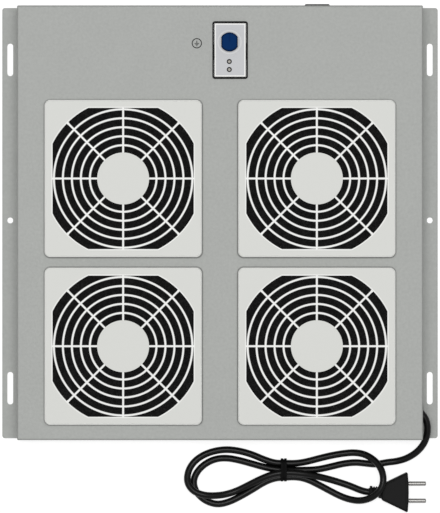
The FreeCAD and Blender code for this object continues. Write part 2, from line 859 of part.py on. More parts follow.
def guard_screw():
    bottom = fan_top - fan_flange - m4_nut_height - m4_end
    screw = lathe([
        (0, bottom),
        (m4_radius, bottom),
        (m4_radius, base_top - m4_head_depth),
        (m4_head_radius, base_top),
        (0, base_top),
    ])
    slot = block(2 * m4_head_radius, m4_slot, base_top - m4_slot_depth, m4_slot_depth + 1)
    return screw.cut(slot)


def guard_nut():
    bottom = fan_top - fan_flange - m4_nut_height
    nut = hexagon(m4_nut_flats, bottom, m4_nut_height)
    return nut.cut(cylinder(m4_radius + thread_gap, bottom - 1, m4_nut_height + 2))


def at_guard_screws(shape):
    copies = []
    for fan_x, fan_y in fan_centres:
        for dx, dy in screw_offsets:
            copies.append(moved(shape, fan_x + dx, fan_y + dy))
    return group(copies)


# ---- thermostat ---------------------------------------------------------------------------
def thermostat_body():
    case = block(
        thermostat_width, thermostat_length, thermostat_bottom,
        thermostat_top - thermostat_bottom, thermostat_corner,
    )
    front = [edge for edge in case.Edges if edge.BoundBox.ZMin > thermostat_top - 0.01]
    case = case.makeChamfer(thermostat_chamfer, front)
    # The terminal end steps in behind the face, over the wire entries.
    step_top = thermostat_bottom + thermostat_step
    for end in (-1, 1):
        notch = block(
            thermostat_width + 2, 2 * thermostat_waist, thermostat_bottom - 1,
            thermostat_step + 1, 0, 0, end * thermostat_length / 2)
        case = case.cut(notch)
    case = case.cut(cylinder(
        spindle_radius + spindle_gap, thermostat_top - spindle_length - 1,
        spindle_length + 2, knob_offset_x, knob_offset_y))
    for offset in terminal_offsets_y:
        well = cylinder(
            terminal_radius + terminal_well_gap,
            thermostat_top - terminal_sink - terminal_length,
            terminal_length + terminal_sink + 1, terminal_offset_x, offset)
        case = case.cut(well)
    for side in (-1, 1):
        entry = Part.makeCylinder(
            wire_hole_radius, wire_hole_depth,
            point(side * thermostat_width / 4, -thermostat_length / 2 + thermostat_waist - 1,
                  step_top - wire_hole_drop), point(0, 1, 0))
        case = case.cut(entry)
    return moved(case, thermostat_x, thermostat_y)


def thermostat_bezel():
    inside_width = thermostat_width + 2 * bezel_fit
    inside_length = thermostat_length + 2 * bezel_fit
    edge = block(
        thermostat_width + 2 * bezel_margin, thermostat_length + 2 * bezel_margin,
        face_top, bezel_height, bezel_corner)
    bezel_top = face_top + bezel_height
    top_edges = [piece for piece in edge.Edges if piece.BoundBox.ZMin > bezel_top - 0.01]
    edge = edge.makeFillet(bezel_round, top_edges)
    collar = block(
        collar_width, collar_length, face_top - bezel_collar, bezel_collar, thermostat_corner)
    frame = fused([edge, collar])
    frame = frame.cut(block(
        inside_width, inside_length, face_top - bezel_collar - 1,
        bezel_collar + bezel_height + 2, thermostat_corner + bezel_fit))
    return moved(frame, thermostat_x, thermostat_y)


def thermostat_knob():
    grip = cylinder(knob_radius, knob_bottom, knob_height)
    grip = grip.common(block(knob_flats, 2 * knob_radius + 1, knob_bottom, knob_height))
    knob_top = knob_bottom + knob_height
    rim = [edge for edge in grip.Edges if edge.BoundBox.ZMin > knob_top - 0.01]
    grip = grip.makeChamfer(knob_chamfer, rim)
    # A pointer groove runs from the middle to the rear edge.
    groove = block(
        knob_groove, knob_radius, knob_top - knob_groove_depth, knob_groove_depth + 1,
        0, 0, knob_radius / 2)
    spindle = cylinder(
        spindle_radius, thermostat_top - spindle_length, spindle_length + knob_gap)
    knob = fused([grip, spindle]).cut(groove)
    return moved(knob, knob_x, knob_y)


def thermostat_terminals():
    top = thermostat_top - terminal_sink
    screws = []
    length = terminal_length - terminal_floor
    for offset, turn in zip(terminal_offsets_y, terminal_turns):
        screw = cylinder(terminal_radius, top - length, length)
        screw = screw.cut(block(
            2 * terminal_radius + 1, terminal_slot, top - terminal_slot_depth,
            terminal_slot_depth + 1))
        screws.append(moved(
            turned(screw, turn), thermostat_x + terminal_offset_x, thermostat_y + offset))
    return group(screws)


def thermostat_bracket():
    """Steel strap that holds the thermostat from below, with an ear on each side."""
    inside = thermostat_width / 2 + strap_gap
    outside = strap_outside
    low = thermostat_bottom - strap_gap
    ear_end = strap_end
    strap = upright_section([
        (-ear_end, face_under, 0),
        (-ear_end, face_under - strap_thickness, 0),
        (-outside, face_under - strap_thickness, strap_ear_fold),
        (-outside, low - strap_thickness, strap_low_fold + strap_thickness),
        (outside, low - strap_thickness, strap_low_fold + strap_thickness),
        (outside, face_under - strap_thickness, strap_ear_fold),
        (ear_end, face_under - strap_thickness, 0),
        (ear_end, face_under, 0),
        (inside, face_under, strap_ear_fold + strap_thickness),
        (inside, low, strap_low_fold),
        (-inside, low, strap_low_fold),
        (-inside, face_under, strap_ear_fold + strap_thickness),
    ], -strap_width / 2, strap_width)
    for side in (-1, 1):
        hole = cylinder(
            stud_radius + stud_hole_gap, face_under - strap_thickness - 1, strap_thickness + 2,
            side * strap_stud_x)
        strap = strap.cut(hole)
    return moved(strap, thermostat_x, thermostat_y)


# ---- studs under the face -----------------------------------------------------------------
def stud_places():
    """Weld studs as (x, y, thickness clamped)."""
    return [
        (thermostat_x - strap_stud_x, thermostat_y, strap_thickness),
        (thermostat_x + strap_stud_x, thermostat_y, strap_thickness),
        (clamp_stud_x, clamp_y, clamp_wall),
        (block_x, block_stud_y, block_base),
    ]


def weld_studs():
    studs = []
    for x, y, clamped in stud_places():
        length = clamped + stud_nut_height + stud_end
        studs.append(cylinder(stud_radius, face_under - length, length, x, y))
    return group(studs)


def stud_nuts():
    nuts = []
    for x, y, clamped in stud_places():
        bottom = face_under - clamped - stud_nut_height
        nut = hexagon(stud_nut_flats, bottom, stud_nut_height, x, y)
        nuts.append(nut.cut(cylinder(
            stud_radius + thread_gap, bottom - 1, stud_nut_height + 2, x, y)))
    return group(nuts)


def earth_stud():
    stud = cylinder(earth_radius, face_under - earth_length, earth_length, earth_x, earth_y)
    tip = [edge for edge in stud.Edges if edge.BoundBox.ZMax < face_under - earth_length + 0.01]
    return stud.makeChamfer(earth_chamfer, tip)


def earth_nuts():
    """Two nuts, each with a washer, with room for a lug between the pairs."""
    pieces = []
    top = face_under
    for _ in range(2):
        washer_bottom = top - earth_washer
        nut_bottom = washer_bottom - earth_nut_height
        bore = earth_radius + thread_gap
        pieces.append(tube(
            earth_washer_radius, bore, washer_bottom, earth_washer, earth_x, earth_y))
        nut = hexagon(earth_nut_flats, nut_bottom, earth_nut_height, earth_x, earth_y)
        pieces.append(nut.cut(cylinder(
            bore, nut_bottom - 1, earth_nut_height + 2, earth_x, earth_y)))
        top = nut_bottom - earth_lug_space
    return group(pieces)


# ---- terminal block and lead fixing -------------------------------------------------------
def pole_xs():
    middle = (block_poles - 1) / 2
    return [(pole - middle) * pole_pitch for pole in range(block_poles)]


def terminal_block():
    low = face_under - block_height
    pieces = [block(
        block_poles * pole_pitch, block_length + block_foot, face_under - block_base, block_base,
        block_corner, 0, block_foot / 2)]
    for x in pole_xs():
        tower = upright_section([
            (x - pole_radius, face_under - block_base, 0),
            (x - pole_radius, low, tower_corner),
            (x + pole_radius, low, tower_corner),
            (x + pole_radius, face_under - block_base, 0),
        ], -block_length / 2, block_length)
        pieces.append(tower)
    body = fused(pieces)
    bore_z = lead_ceiling - pole_bore_drop
    for x in pole_xs():
        body = body.cut(Part.makeCylinder(
            pole_bore_radius, block_length + 2, point(x, -block_length / 2 - 1, bore_z),
            point(0, 1, 0)))
        for end in (-1, 1):
            body = body.cut(cylinder(
                pole_screw_radius + pole_screw_gap, low - 1, bore_z - low + 1,
                x, end * pole_screw_spacing / 2))
    stud_hole = cylinder(
        stud_radius + stud_hole_gap, face_under - block_base - 1, block_base + 2,
        0, (block_length + block_foot) / 2)
    return moved(body.cut(stud_hole), block_x, block_y)


def terminal_screws():
    low = face_under - block_height
    screws = []
    for x in pole_xs():
        for end in (-1, 1):
            y = end * pole_screw_spacing / 2
            screw = cylinder(pole_screw_radius, low + pole_screw_sink, pole_screw_length)
            screw = screw.cut(block(
                2 * pole_screw_radius + 1, pole_screw_slot, low,
                pole_screw_sink + pole_screw_slot_depth))
            screws.append(moved(turned(screw, 20 + 9 * x), block_x + x, block_y + y))
    return group(screws)


def lead_clamp():
    """Nylon loop round the lead, with a tab that lies against the face."""
    radius = lead_radius + clamp_gap
    loop = Part.makeCylinder(
        radius + clamp_wall, clamp_length,
        point(block_x, clamp_y - clamp_length / 2, lead_ceiling), point(0, 1, 0))
    tab = block(
        clamp_tab + lead_radius, clamp_length, face_under - clamp_wall, clamp_wall, 0,
        block_x - (clamp_tab + lead_radius) / 2, clamp_y)
    clamp = fused([loop, tab])
    clamp = clamp.cut(Part.makeCylinder(
        radius, clamp_length + 2,
        point(block_x, clamp_y - clamp_length / 2 - 1, lead_ceiling), point(0, 1, 0)))
    return clamp.cut(cylinder(
        stud_radius + stud_hole_gap, face_under - clamp_wall - 1, clamp_wall + 2,
        clamp_stud_x, clamp_y))


def cord_grommet():
    body = side_slot(
        grommet_length - 2 * grommet_fit, grommet_height - 2 * grommet_fit,
        wall_x - sheet - grommet_lip, sheet + 2 * grommet_lip)
    lip_length = grommet_length + 2 * grommet_margin
    lip_height = grommet_height + 2 * grommet_margin
    inner = side_slot(lip_length, lip_height, wall_x - sheet - grommet_lip, grommet_lip)
    outer = side_slot(lip_length, lip_height, wall_x, grommet_lip)
    grommet = fused([body, inner, outer])
    bore = Part.makeCylinder(
        lead_radius + grommet_bore_gap, grommet_bore,
        point(wall_middle_x - grommet_bore / 2 * heading_x,
              grommet_y - grommet_bore / 2 * heading_y, grommet_z),
        point(heading_x, heading_y, 0))
    # The outer half of the bore flares, so that the lead can bend as it leaves.
    flare = Part.makeCone(
        lead_radius + grommet_bore_gap, lead_radius + grommet_bore_gap + grommet_flare,
        grommet_bore / 2, point(wall_middle_x, grommet_y, grommet_z),
        point(heading_x, heading_y, 0))
    return grommet.cut(bore).cut(flare)


# ---- blanking plug in the rear wall -------------------------------------------------------
def rear_plug():
    middle_z = body_height / 2
    lip = Part.makeBox(
        rear_plug_width, rear_plug_lip, rear_plug_tall,
        point(rear_plug_x - rear_plug_width / 2, rear_y, middle_z - rear_plug_tall / 2))
    outer_y = rear_y + rear_plug_lip
    rim = [edge for edge in lip.Edges if edge.BoundBox.YMin > outer_y - 0.01]
    lip = lip.makeFillet(rear_plug_round, rim)
    outer_width = rear_plug_width - 2 * (rear_plug_margin + rear_plug_fit)
    outer_tall = rear_plug_tall - 2 * (rear_plug_margin + rear_plug_fit)
    box = Part.makeBox(
        outer_width, rear_plug_depth, outer_tall,
        point(rear_plug_x - outer_width / 2, rear_y - rear_plug_depth,
              middle_z - outer_tall / 2))
    inner_width = outer_width - 2 * rear_plug_wall
    inner_tall = outer_tall - 2 * rear_plug_wall
    hollow = Part.makeBox(
        inner_width, rear_plug_depth, inner_tall,
        point(rear_plug_x - inner_width / 2, rear_y - rear_plug_depth,
              middle_z - inner_tall / 2))
    return fused([lip, box.cut(hollow)])


# ---- hank, tie and plug -------------------------------------------------------------------
def hank_prism(points, bottom, height):
    """Solid that stands on a smooth closed curve through a few points."""
    curve = Part.BSplineCurve()
    curve.interpolate([point(*place) for place in points], PeriodicFlag=True)
    solid = Part.Face(Part.Wire([curve.toShape()])).extrude(point(0, 0, height))
    solid.translate(point(0, 0, bottom))
    return solid


def cord_hank():
    """Outer shape of the tied figure of eight, with both eyes open."""
    # Towards the plug the loop climbs over the plug's tail.
    far_x = 2 * plug_front_x
    air = upright_section([
        (-far_x, hank_height, 0),
        (raised_from_x - ramp_length, hank_height, 0),
        (raised_from_x, hank_raised_top, 0),
        (far_x, hank_raised_top, 0),
        (far_x, 2 * hank_raised_top, 0),
        (-far_x, 2 * hank_raised_top, 0),
    ], tie_y - body_length / 2, body_length)
    hank = hank_prism(hank_outside, 0, hank_raised_top + 1).cut(air)
    hank = hank.cut(hank_prism(hank_left_eye, -1, hank_raised_top + 3))
    hank = hank.cut(hank_prism(hank_right_eye, -1, hank_raised_top + 3))
    hank = hank.cut(block(tie_width, 2 * waist_width, -1, hank_height + 2, 0, tie_x, tie_y))
    # The lead comes in under the loop's end.
    last = point(*lead_route[-1])
    along = (last - point(*lead_route[-2])).normalize()
    entry = Part.makeCylinder(lead_radius, entry_length, last, along)
    hank = fused([hank, waist_section(tie_width), entry])
    return hank.cut(plug_room()).cut(relief_room())


def waist_section(length, grow=0.0):
    """Rounded bundle where the tie holds the strands together."""
    half = waist_width / 2 + grow
    low = waist_bottom - grow
    high = waist_bottom + waist_height + grow
    section = upright_section([
        (-half, low, waist_low_round + grow),
        (half, low, waist_low_round + grow),
        (half, high, waist_high_round + grow),
        (-half, high, waist_high_round + grow),
    ], 0, length)
    section.rotate(point(0, 0, 0), point(0, 0, 1), -90)
    section.translate(point(tie_x - length / 2, tie_y, 0))
    return section


def cord_tie():
    band = waist_section(tie_width, tie_wall)
    # A groove round the middle leaves two ridges.
    groove = waist_section(tie_groove_width, tie_wall + 1)
    groove = groove.cut(waist_section(tie_groove_width, tie_wall - tie_groove))
    band = band.cut(groove)
    return band.cut(waist_section(tie_width + 2))


def plug_outline(grow=0.0):
    rear = plug_rear_width / 2 + grow
    front = plug_front_width / 2 + grow
    return [
        (plug_rear_x - grow, -rear, plug_rear_corner),
        (plug_front_x - plug_bow + grow, -front, plug_front_corner),
        (plug_front_x + grow, 0, plug_bow_radius),
        (plug_front_x - plug_bow + grow, front, plug_front_corner),
        (plug_rear_x - grow, rear, plug_rear_corner),
    ]


def plug_room():
    return moved(
        prism(plug_outline(relief_gap), -1, plug_thickness + relief_gap + 1), 0, plug_axis_y)


def relief_room():
    return Part.makeCylinder(
        relief_collar_radius + relief_gap, relief_length + 1,
        point(relief_x, plug_axis_y, plug_axis_z), point(1, 0, 0))


def plug_body():
    body = prism(plug_outline(), 0, plug_thickness)
    long_edges = [edge for edge in body.Edges if edge.BoundBox.ZLength < 0.01]
    body = body.makeFillet(plug_round, long_edges)
    for side in (-1, 1):
        body = body.cut(Part.makeCylinder(
            pin_root_radius, pin_seat,
            point(plug_front_x - pin_seat, side * pin_spacing / 2, plug_axis_z),
            point(1, 0, 0)))
    return moved(body, 0, plug_axis_y)


def plug_pins():
    """Two round pins, each with a thinner root inside the plug."""
    pins = []
    for side in (-1, 1):
        y = side * pin_spacing / 2
        pin = Part.makeCylinder(
            pin_radius, pin_length, point(plug_front_x, y, plug_axis_z), point(1, 0, 0))
        tip_x = plug_front_x + pin_length
        tip = [edge for edge in pin.Edges if edge.BoundBox.XMin > tip_x - 0.01]
        pin = pin.makeFillet(pin_tip, tip)
        root = Part.makeCylinder(
            pin_root_radius, pin_seat,
            point(plug_front_x - pin_seat, y, plug_axis_z), point(1, 0, 0))
        pins.append(moved(fused([pin, root]), 0, plug_axis_y))
    return group(pins)


def plug_strain_relief():
    relief = lathe([
        (0, 0),
        (relief_collar_radius, 0),
        (relief_collar_radius, relief_collar),
        (relief_neck_radius, relief_collar),
        (relief_neck_radius, relief_length - relief_flare),
        (relief_collar_radius, relief_length),
        (0, relief_length),
    ])
    relief.rotate(point(0, 0, 0), point(0, 1, 0), 90)
    return moved(relief, relief_x, plug_axis_y, plug_axis_z)


# ---- build --------------------------------------------------------------------------------
os.makedirs("parts", exist_ok=True)

save(chassis_pan(), "chassis_pan")
save(side_rail(-1), "side_rail_left")
save(side_rail(1), "side_rail_right")

per_fan = {
    "fan_frame": fan_frame(),
    "fan_stator": fan_stator(),
    "fan_bearings": fan_bearings(),
    "fan_rotor": fan_rotor(),
    "fan_shaft": fan_shaft(),
    "guard_base": guard_base(),
    "filter_pad": filter_pad(),
    "guard_cover": guard_cover(),
}
for number, (fan_x, fan_y) in enumerate(fan_centres, start=1):
    for name, shape in per_fan.items():
        save(moved(shape, fan_x, fan_y), f"{name}_{number}")

save(at_guard_screws(guard_screw()), "guard_screws")
save(at_guard_screws(guard_nut()), "guard_nuts")

save(thermostat_body(), "thermostat_body")
save(thermostat_bezel(), "thermostat_bezel")
save(thermostat_knob(), "thermostat_knob")
save(thermostat_terminals(), "thermostat_terminals")
save(thermostat_bracket(), "thermostat_bracket")
save(weld_studs(), "weld_studs")
save(stud_nuts(), "stud_nuts")
save(earth_stud(), "earth_stud")
save(earth_nuts(), "earth_nuts")

save(terminal_block(), "terminal_block")
save(terminal_screws(), "terminal_screws")
save(lead_clamp(), "lead_clamp")
save(cord_grommet(), "cord_grommet")
save(lead_tube(inner_route, "inner lead"), "mains_lead_inner")
save(rear_plug(), "rear_plug")

save(lead_tube(lead_route, "free lead"), "mains_cord")
save(cord_hank(), "cord_hank")
save(cord_tie(), "cord_tie")
save(plug_body(), "plug_body")
save(plug_pins(), "plug_pins")
save(plug_strain_relief(), "plug_strain_relief")
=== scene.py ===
# %% [markdown]
# # A rack fan tray, dressed
# The tray is a folded steel pan for a 19 inch cabinet. Four axial fans hang under its face,
# each behind a plastic guard with a filter pad, a thermostat switches them, and a mains lead
# leaves through the side wall. The solids come from the packed part and stay as they are.
# This lesson gives them their finishes and adds what a solid shows poorly: the free lead, the
# moulded plug and its ribbed sleeve, the open-cell foam, the raised panel of a blanking plug
# and the printed earth mark.

# %% Frame
import json
import math

import bmesh
import bpy
from mathutils import Matrix, Vector, noise


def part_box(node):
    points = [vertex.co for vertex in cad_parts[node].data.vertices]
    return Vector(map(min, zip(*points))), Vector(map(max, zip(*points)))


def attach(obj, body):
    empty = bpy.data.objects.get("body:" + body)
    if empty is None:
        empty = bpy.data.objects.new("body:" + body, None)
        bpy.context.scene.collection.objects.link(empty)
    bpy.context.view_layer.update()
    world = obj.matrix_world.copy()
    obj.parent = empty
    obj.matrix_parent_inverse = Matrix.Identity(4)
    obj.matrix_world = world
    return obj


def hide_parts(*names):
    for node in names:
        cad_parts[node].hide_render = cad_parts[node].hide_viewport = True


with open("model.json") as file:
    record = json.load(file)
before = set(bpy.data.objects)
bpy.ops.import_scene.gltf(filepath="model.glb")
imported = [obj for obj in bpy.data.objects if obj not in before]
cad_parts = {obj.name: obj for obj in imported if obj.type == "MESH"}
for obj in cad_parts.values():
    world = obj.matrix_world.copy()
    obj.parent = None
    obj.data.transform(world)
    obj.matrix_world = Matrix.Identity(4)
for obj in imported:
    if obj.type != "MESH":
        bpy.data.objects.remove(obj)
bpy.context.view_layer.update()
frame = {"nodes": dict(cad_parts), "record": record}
nodes = frame["nodes"]
print("CAD nodes:", len(nodes))

# %% [markdown]
# ## Values
# Everything is in metres. The sizes could be typed in again here, but a dressed piece would
# then drift from its solid when the part changes. So what the solids can tell is read from
# their boxes, and only the lead's route is given as a list of points.

# %% Sizes read from the solids
MM = 0.001


def middle(node):
    """The middle of a solid's box."""
    low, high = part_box(node)
    return (Vector(low) + Vector(high)) / 2


guard_numbers = (1, 2, 3, 4)
guard_centres = [middle(f"guard_cover_{number}") for number in guard_numbers]
guard_low, guard_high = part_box("guard_cover_1")
guard_half = (guard_high[0] - guard_low[0]) / 2
guard_top = guard_high[2]
column_x = (guard_centres[1].x - guard_centres[0].x) / 2
row_middle_y = (guard_centres[0].y + guard_centres[2].y) / 2
row_y = (guard_centres[0].y - guard_centres[2].y) / 2
pan_low, pan_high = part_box("chassis_pan")
rail_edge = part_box("side_rail_right")[1][0]
face_top = pan_high[2]
print("guard centres:", [tuple(round(v, 4) for v in centre) for centre in guard_centres])

# %% [markdown]
# ## Writing a finish as an expression
# A finish is a small graph of shader nodes. It could be drawn in the editor or linked socket
# by socket in code, and both are hard to read afterwards. Here one class wraps a socket and
# lets it be added, multiplied and compared like a number, so that a finish reads as a formula.


# %% Sockets that can be calculated with
class Value:
    """A number that the shader works out at each point."""

    def __init__(self, finish, socket):
        self.finish = finish
        self.socket = socket

    def math(self, operation, *others):
        inputs = {0: self}
        for index, other in enumerate(others, start=1):
            inputs[index] = other
        return self.finish.node("ShaderNodeMath", {"operation": operation}, inputs).value()

    def __add__(self, other):
        return self.math("ADD", other)

    __radd__ = __add__

    def __mul__(self, other):
        return self.math("MULTIPLY", other)

    __rmul__ = __mul__

    def __sub__(self, other):
        return self.math("SUBTRACT", other)

    def __rsub__(self, other):
        return (self * -1) + other

    def __lt__(self, limit):
        return self.math("LESS_THAN", limit)

    def __gt__(self, limit):
        return self.math("GREATER_THAN", limit)

    def size(self):
        """The value without its sign."""
        return self.math("ABSOLUTE")

    def at_most(self, other):
        return self.math("MINIMUM", other)

    def at_least(self, other):
        return self.math("MAXIMUM", other)

    def root(self):
        return self.math("SQRT")


print("a value also has:", [name for name in vars(Value) if name[0] != "_"])

# %% [markdown]
# ## One shader for each finish
# Nearly every surface here is one Principled shader with a few numbers of its own, so a class
# holds the two together. Any other node comes from one method: its settings are made first,
# because a setting can change which sockets a node has, and its inputs are filled after that.
# The patterns read the point on the piece in metres, so that a grain has its real size.


# %% A finish and the nodes added to it
class Added:
    """A node that was just added to a finish."""

    def __init__(self, finish, node):
        self.finish = finish
        self.node = node

    def value(self, name=0):
        return Value(self.finish, self.socket(name))

    def socket(self, name=0):
        return self.node.outputs[name]


class Finish:
    """A material built on one Principled shader."""

    def __init__(self, name, colour, roughness, metallic=0.0, gloss=0.5):
        self.material = bpy.data.materials.new(name)
        self.material.use_nodes = True
        self.tree = self.material.node_tree
        self.shader = self.tree.nodes["Principled BSDF"]
        self.shader.inputs["Base Color"].default_value = (*colour, 1)
        self.shader.inputs["Roughness"].default_value = roughness
        self.shader.inputs["Metallic"].default_value = metallic
        self.shader.inputs["Specular IOR Level"].default_value = gloss
        self.colour = colour

    def put(self, socket, thing):
        """Gives a socket a link, a colour or a number."""
        if isinstance(thing, Value):
            thing = thing.socket
        if isinstance(thing, bpy.types.NodeSocket):
            self.tree.links.new(thing, socket)
        elif isinstance(thing, tuple) and socket.type == "RGBA":
            socket.default_value = (*thing, 1)
        else:
            socket.default_value = thing

    def node(self, kind, settings=None, inputs=None):
        """Adds a node: its settings first, then the values or links of its sockets."""
        node = self.tree.nodes.new(kind)
        for name, setting in (settings or {}).items():
            setattr(node, name, setting)
        for name, thing in (inputs or {}).items():
            self.put(node.inputs[name], thing)
        return Added(self, node)

    def place(self):
        """The point on the piece, in metres."""
        return self.node("ShaderNodeTexCoord").socket("Object")

    def axes(self):
        """The point's x, y and z as three values."""
        split = self.node("ShaderNodeSeparateXYZ", inputs={0: self.place()})
        return split.value("X"), split.value("Y"), split.value("Z")

    def grain(self, per_metre, detail=2.0):
        """Even noise from 0 to 1, with so many cells in a metre."""
        return self.node("ShaderNodeTexNoise", inputs={
            "Vector": self.place(), "Scale": per_metre, "Detail": detail}).value("Fac")

    def cells(self, per_metre):
        """Distance from the middle of rounded cells."""
        return self.node("ShaderNodeTexVoronoi", inputs={
            "Vector": self.place(), "Scale": per_metre}).value("Distance")

    def mix(self, share, first, second):
        """Colour that goes from first to second as share goes from 0 to 1."""
        return self.node("ShaderNodeMix", {"data_type": "RGBA"}, {
            "Factor": share, 6: first, 7: second}).socket(2)

    def base(self, colour):
        self.put(self.shader.inputs["Base Color"], colour)

    def rough(self, value):
        self.put(self.shader.inputs["Roughness"], value)

    def bump(self, height, depth):
        """Raises the surface by up to the depth, as far as light can tell."""
        bumped = self.node("ShaderNodeBump", inputs={
            "Height": height, "Distance": depth, "Strength": 1.0})
        self.put(self.shader.inputs["Normal"], bumped.socket("Normal"))

    def skin(self, per_metre, depth, roughness, spread):
        """Fine grain in the surface that also moves the roughness a little."""
        grain = self.grain(per_metre)
        self.rough(roughness - spread / 2 + spread * grain)
        self.bump(grain, depth)


print("methods of a finish:", len([name for name in vars(Finish) if name[0] != "_"]))

# %% [markdown]
# ## Helpers for several finishes
# Three small functions serve many finishes. One makes a colour lighter or darker, one tells
# the reader how large a finish has become, and one folds the tray about the two middle lines
# of its fans, so that a pattern written for one guard shows at all four.


# %% Shade, fold and tell
def shade(colour, factor):
    """The same hue, lighter or darker."""
    return tuple(min(1.0, channel * factor) for channel in colour)


def guard_fold(finish):
    """Distance from the nearest guard's middle across and along the tray, and the height."""
    x, y, z = finish.axes()
    across = (x.size() - column_x).size()
    along = ((y - row_middle_y).size() - row_y).size()
    return across, along, z


def tell(*made):
    """Prints how many nodes each finish has."""
    print("nodes:", {finish.material.name: len(finish.tree.nodes) for finish in made})


print("guards from the tray's middle lines:", round(column_x, 4), round(row_y, 4), "m")

# %% [markdown]
# ## Painted steel
# The pan is powder coated in light grey. The powder melts into a skin with a fine orange peel,
# and the grey is faintly mottled. A painted tile would repeat itself over half a metre, so
# noise of three sizes does it: a broad cloud and the peel move the colour, the peel and a fine
# ripple raise the surface, and the ripple also moves the roughness a little.

# %% Powder coat
powder_coat = Finish("powder_coat", (0.407, 0.418, 0.402), 0.5, gloss=0.26)
peel = powder_coat.grain(320, detail=3.0)
ripple = powder_coat.grain(2600, detail=1.0)
cloud = powder_coat.grain(26, detail=4.0)
dark_grey = shade(powder_coat.colour, 0.86)
pale_grey = shade(powder_coat.colour, 1.14)
mottled = powder_coat.mix(peel * 0.75 + cloud * 0.25, dark_grey, pale_grey)
powder_coat.rough(0.42 + 0.16 * ripple)
powder_coat.bump(peel + 0.35 * ripple, 0.22 * MM)
tell(powder_coat)

# %% [markdown]
# ## Painted shade on the paint
# The paint is darkened in thin lines round each guard, along the face's folds and at the
# rails'
# cut edges. These lines are painted shade: a contact shadow in the corner between the face and
# each guard, and the shade of the steep folds and cut edges. Such lines could be painted on by
# hand, but they would stay behind when a guard's size changes. A distance gives them instead:
# outside a rounded square for the guards, and in from the face's sides for the folds.

# %% Painted shade round the guards
across, along, z = guard_fold(powder_coat)
guard_corner = 6.0 * MM
guard_shade_reach = 1.9 * MM
face_depth = 0.4 * MM
beyond_x = (across - (guard_half - guard_corner)).at_least(0.0)
beyond_y = (along - (guard_half - guard_corner)).at_least(0.0)
outside_guard = (beyond_x * beyond_x + beyond_y * beyond_y).root() - guard_corner
on_face = z > face_top - face_depth
# Painted shade: a soft dark line on the face just outside each guard, for its contact shadow.
painted_guard_shade = (1.0 - outside_guard.size() * (1 / guard_shade_reach)).at_least(0.0) * on_face
print("dust reaches", round(guard_shade_reach / MM, 1), "mm from a guard")

# %% Painted shade on folds and cut edges
fold_width = 1.3 * MM
fold_depth = 1.6 * MM
cut_width = 0.9 * MM
fold_share = 0.42
cut_share = 0.25
painted_shade_grey = shade(powder_coat.colour, 0.36)
x, y, z = powder_coat.axes()
from_side = pan_high[0] - x.size()
from_end = (y - pan_low[1]).at_most(pan_high[1] - y)
fold = (from_side.at_most(from_end) < fold_width) * (z > face_top - fold_depth)
cut_edge = x.size() > rail_edge - cut_width
# Painted shade on the folds and cut edges, joined with the painted shade round the guards.
painted_edge_shade = (fold * fold_share).at_least(cut_edge * cut_share)
powder_coat.base(powder_coat.mix(painted_guard_shade.at_least(painted_edge_shade), mottled, painted_shade_grey))
tell(powder_coat)

# %% [markdown]
# ## Guard plastic
# The guard covers are pale ABS. The frame has a painted highlight where its rounded edges
# would catch the light, and another where the window's edge is rounded. The window is a square
# whose corners are cut off by a circle. The rims could be modelled as faces of their own, but
# the cover is a solid that stays as it is, so distances find them: the larger of the distance
# past the square and the distance past the circle tells how far a point lies outside the
# window.

# %% Window and rims of the guard covers
guard_plastic = Finish("guard_plastic", (0.688, 0.695, 0.664), 0.45, gloss=0.27)
window_inset = 8.8 * MM
window_bulge = 0.1 * MM
window_rim = 1.3 * MM
wall_play = 0.05 * MM
grille_depth = 0.3 * MM
outer_rim_width = 0.9 * MM
window_half = guard_half - window_inset
window_radius = guard_half + window_bulge
across, along, z = guard_fold(guard_plastic)
from_axes = across.at_least(along)
from_centre = (across * across + along * along).root()
past_window = (from_axes - window_half).at_least(from_centre - window_radius)
in_window = past_window < -wall_play
grille = in_window * (z < guard_top - grille_depth)
rim = (past_window < window_rim) * (1 - in_window)
outer_rim = from_axes > guard_half - outer_rim_width
print("guard window half", round(window_half, 4), "radius", round(window_radius, 4))

# %% [markdown]
# ## Rings and spokes
# The tops of the ribs get a painted highlight, whiter than the frame, for the light that they
# catch, and their edges get a painted shade, for where their rounding would turn from the
# light.
# Such a fine rounding on a whole net of ribs would cost many faces, so the distance from a
# rib's middle line stands for it. For the rings that distance runs up and down between one
# ring and the next like a ping-pong ball, and for the spokes the nearest of the two axes and
# the diagonal counts. The bases under the covers are a darker grey with the same grain.

# %% Ribs of the guard covers
painted_rib_highlight = (0.90, 0.905, 0.885)
painted_rim_highlight = (0.86, 0.865, 0.84)
rib_shade = (0.16, 0.16, 0.155)
first_ring = 36.4 * MM
last_ring_inset = 1.48 * MM
ring_gaps = 4
rib_half = 0.95 * MM
ring_step = (window_half - last_ring_inset - first_ring) / ring_gaps
from_ring = (from_centre - first_ring).math("PINGPONG", ring_step / 2)
from_spoke = across.at_most(along).at_most((across - along).size() * math.sqrt(0.5))
rib_top = from_ring.at_most(from_spoke) < rib_half
# Painted highlight on the rib tops and painted shade on the rib edges.
rib = guard_plastic.mix(rib_top, rib_shade, painted_rib_highlight)
# Painted highlight: the outer rim and the window's rim are lightened as if their rounded edges
# caught the light.
colour = guard_plastic.mix(rim.at_least(outer_rim), guard_plastic.colour, painted_rim_highlight)
guard_plastic.base(guard_plastic.mix(grille, colour, rib))
guard_plastic.bump(guard_plastic.grain(1500), 0.03 * MM)
base_plastic = Finish("base_plastic", (0.28, 0.285, 0.275), 0.5)
base_plastic.skin(1500, 0.03 * MM, 0.5, 0.12)
tell(guard_plastic, base_plastic)

# %% [markdown]
# ## Foam
# The filter is black open-cell foam. Up close it is a net of thin strands round dark pores.
# Modelling the net would take millions of faces, so rounded cells stand for it: the distance
# from a cell's middle raises the strands, and broader clumps make some of them paler.

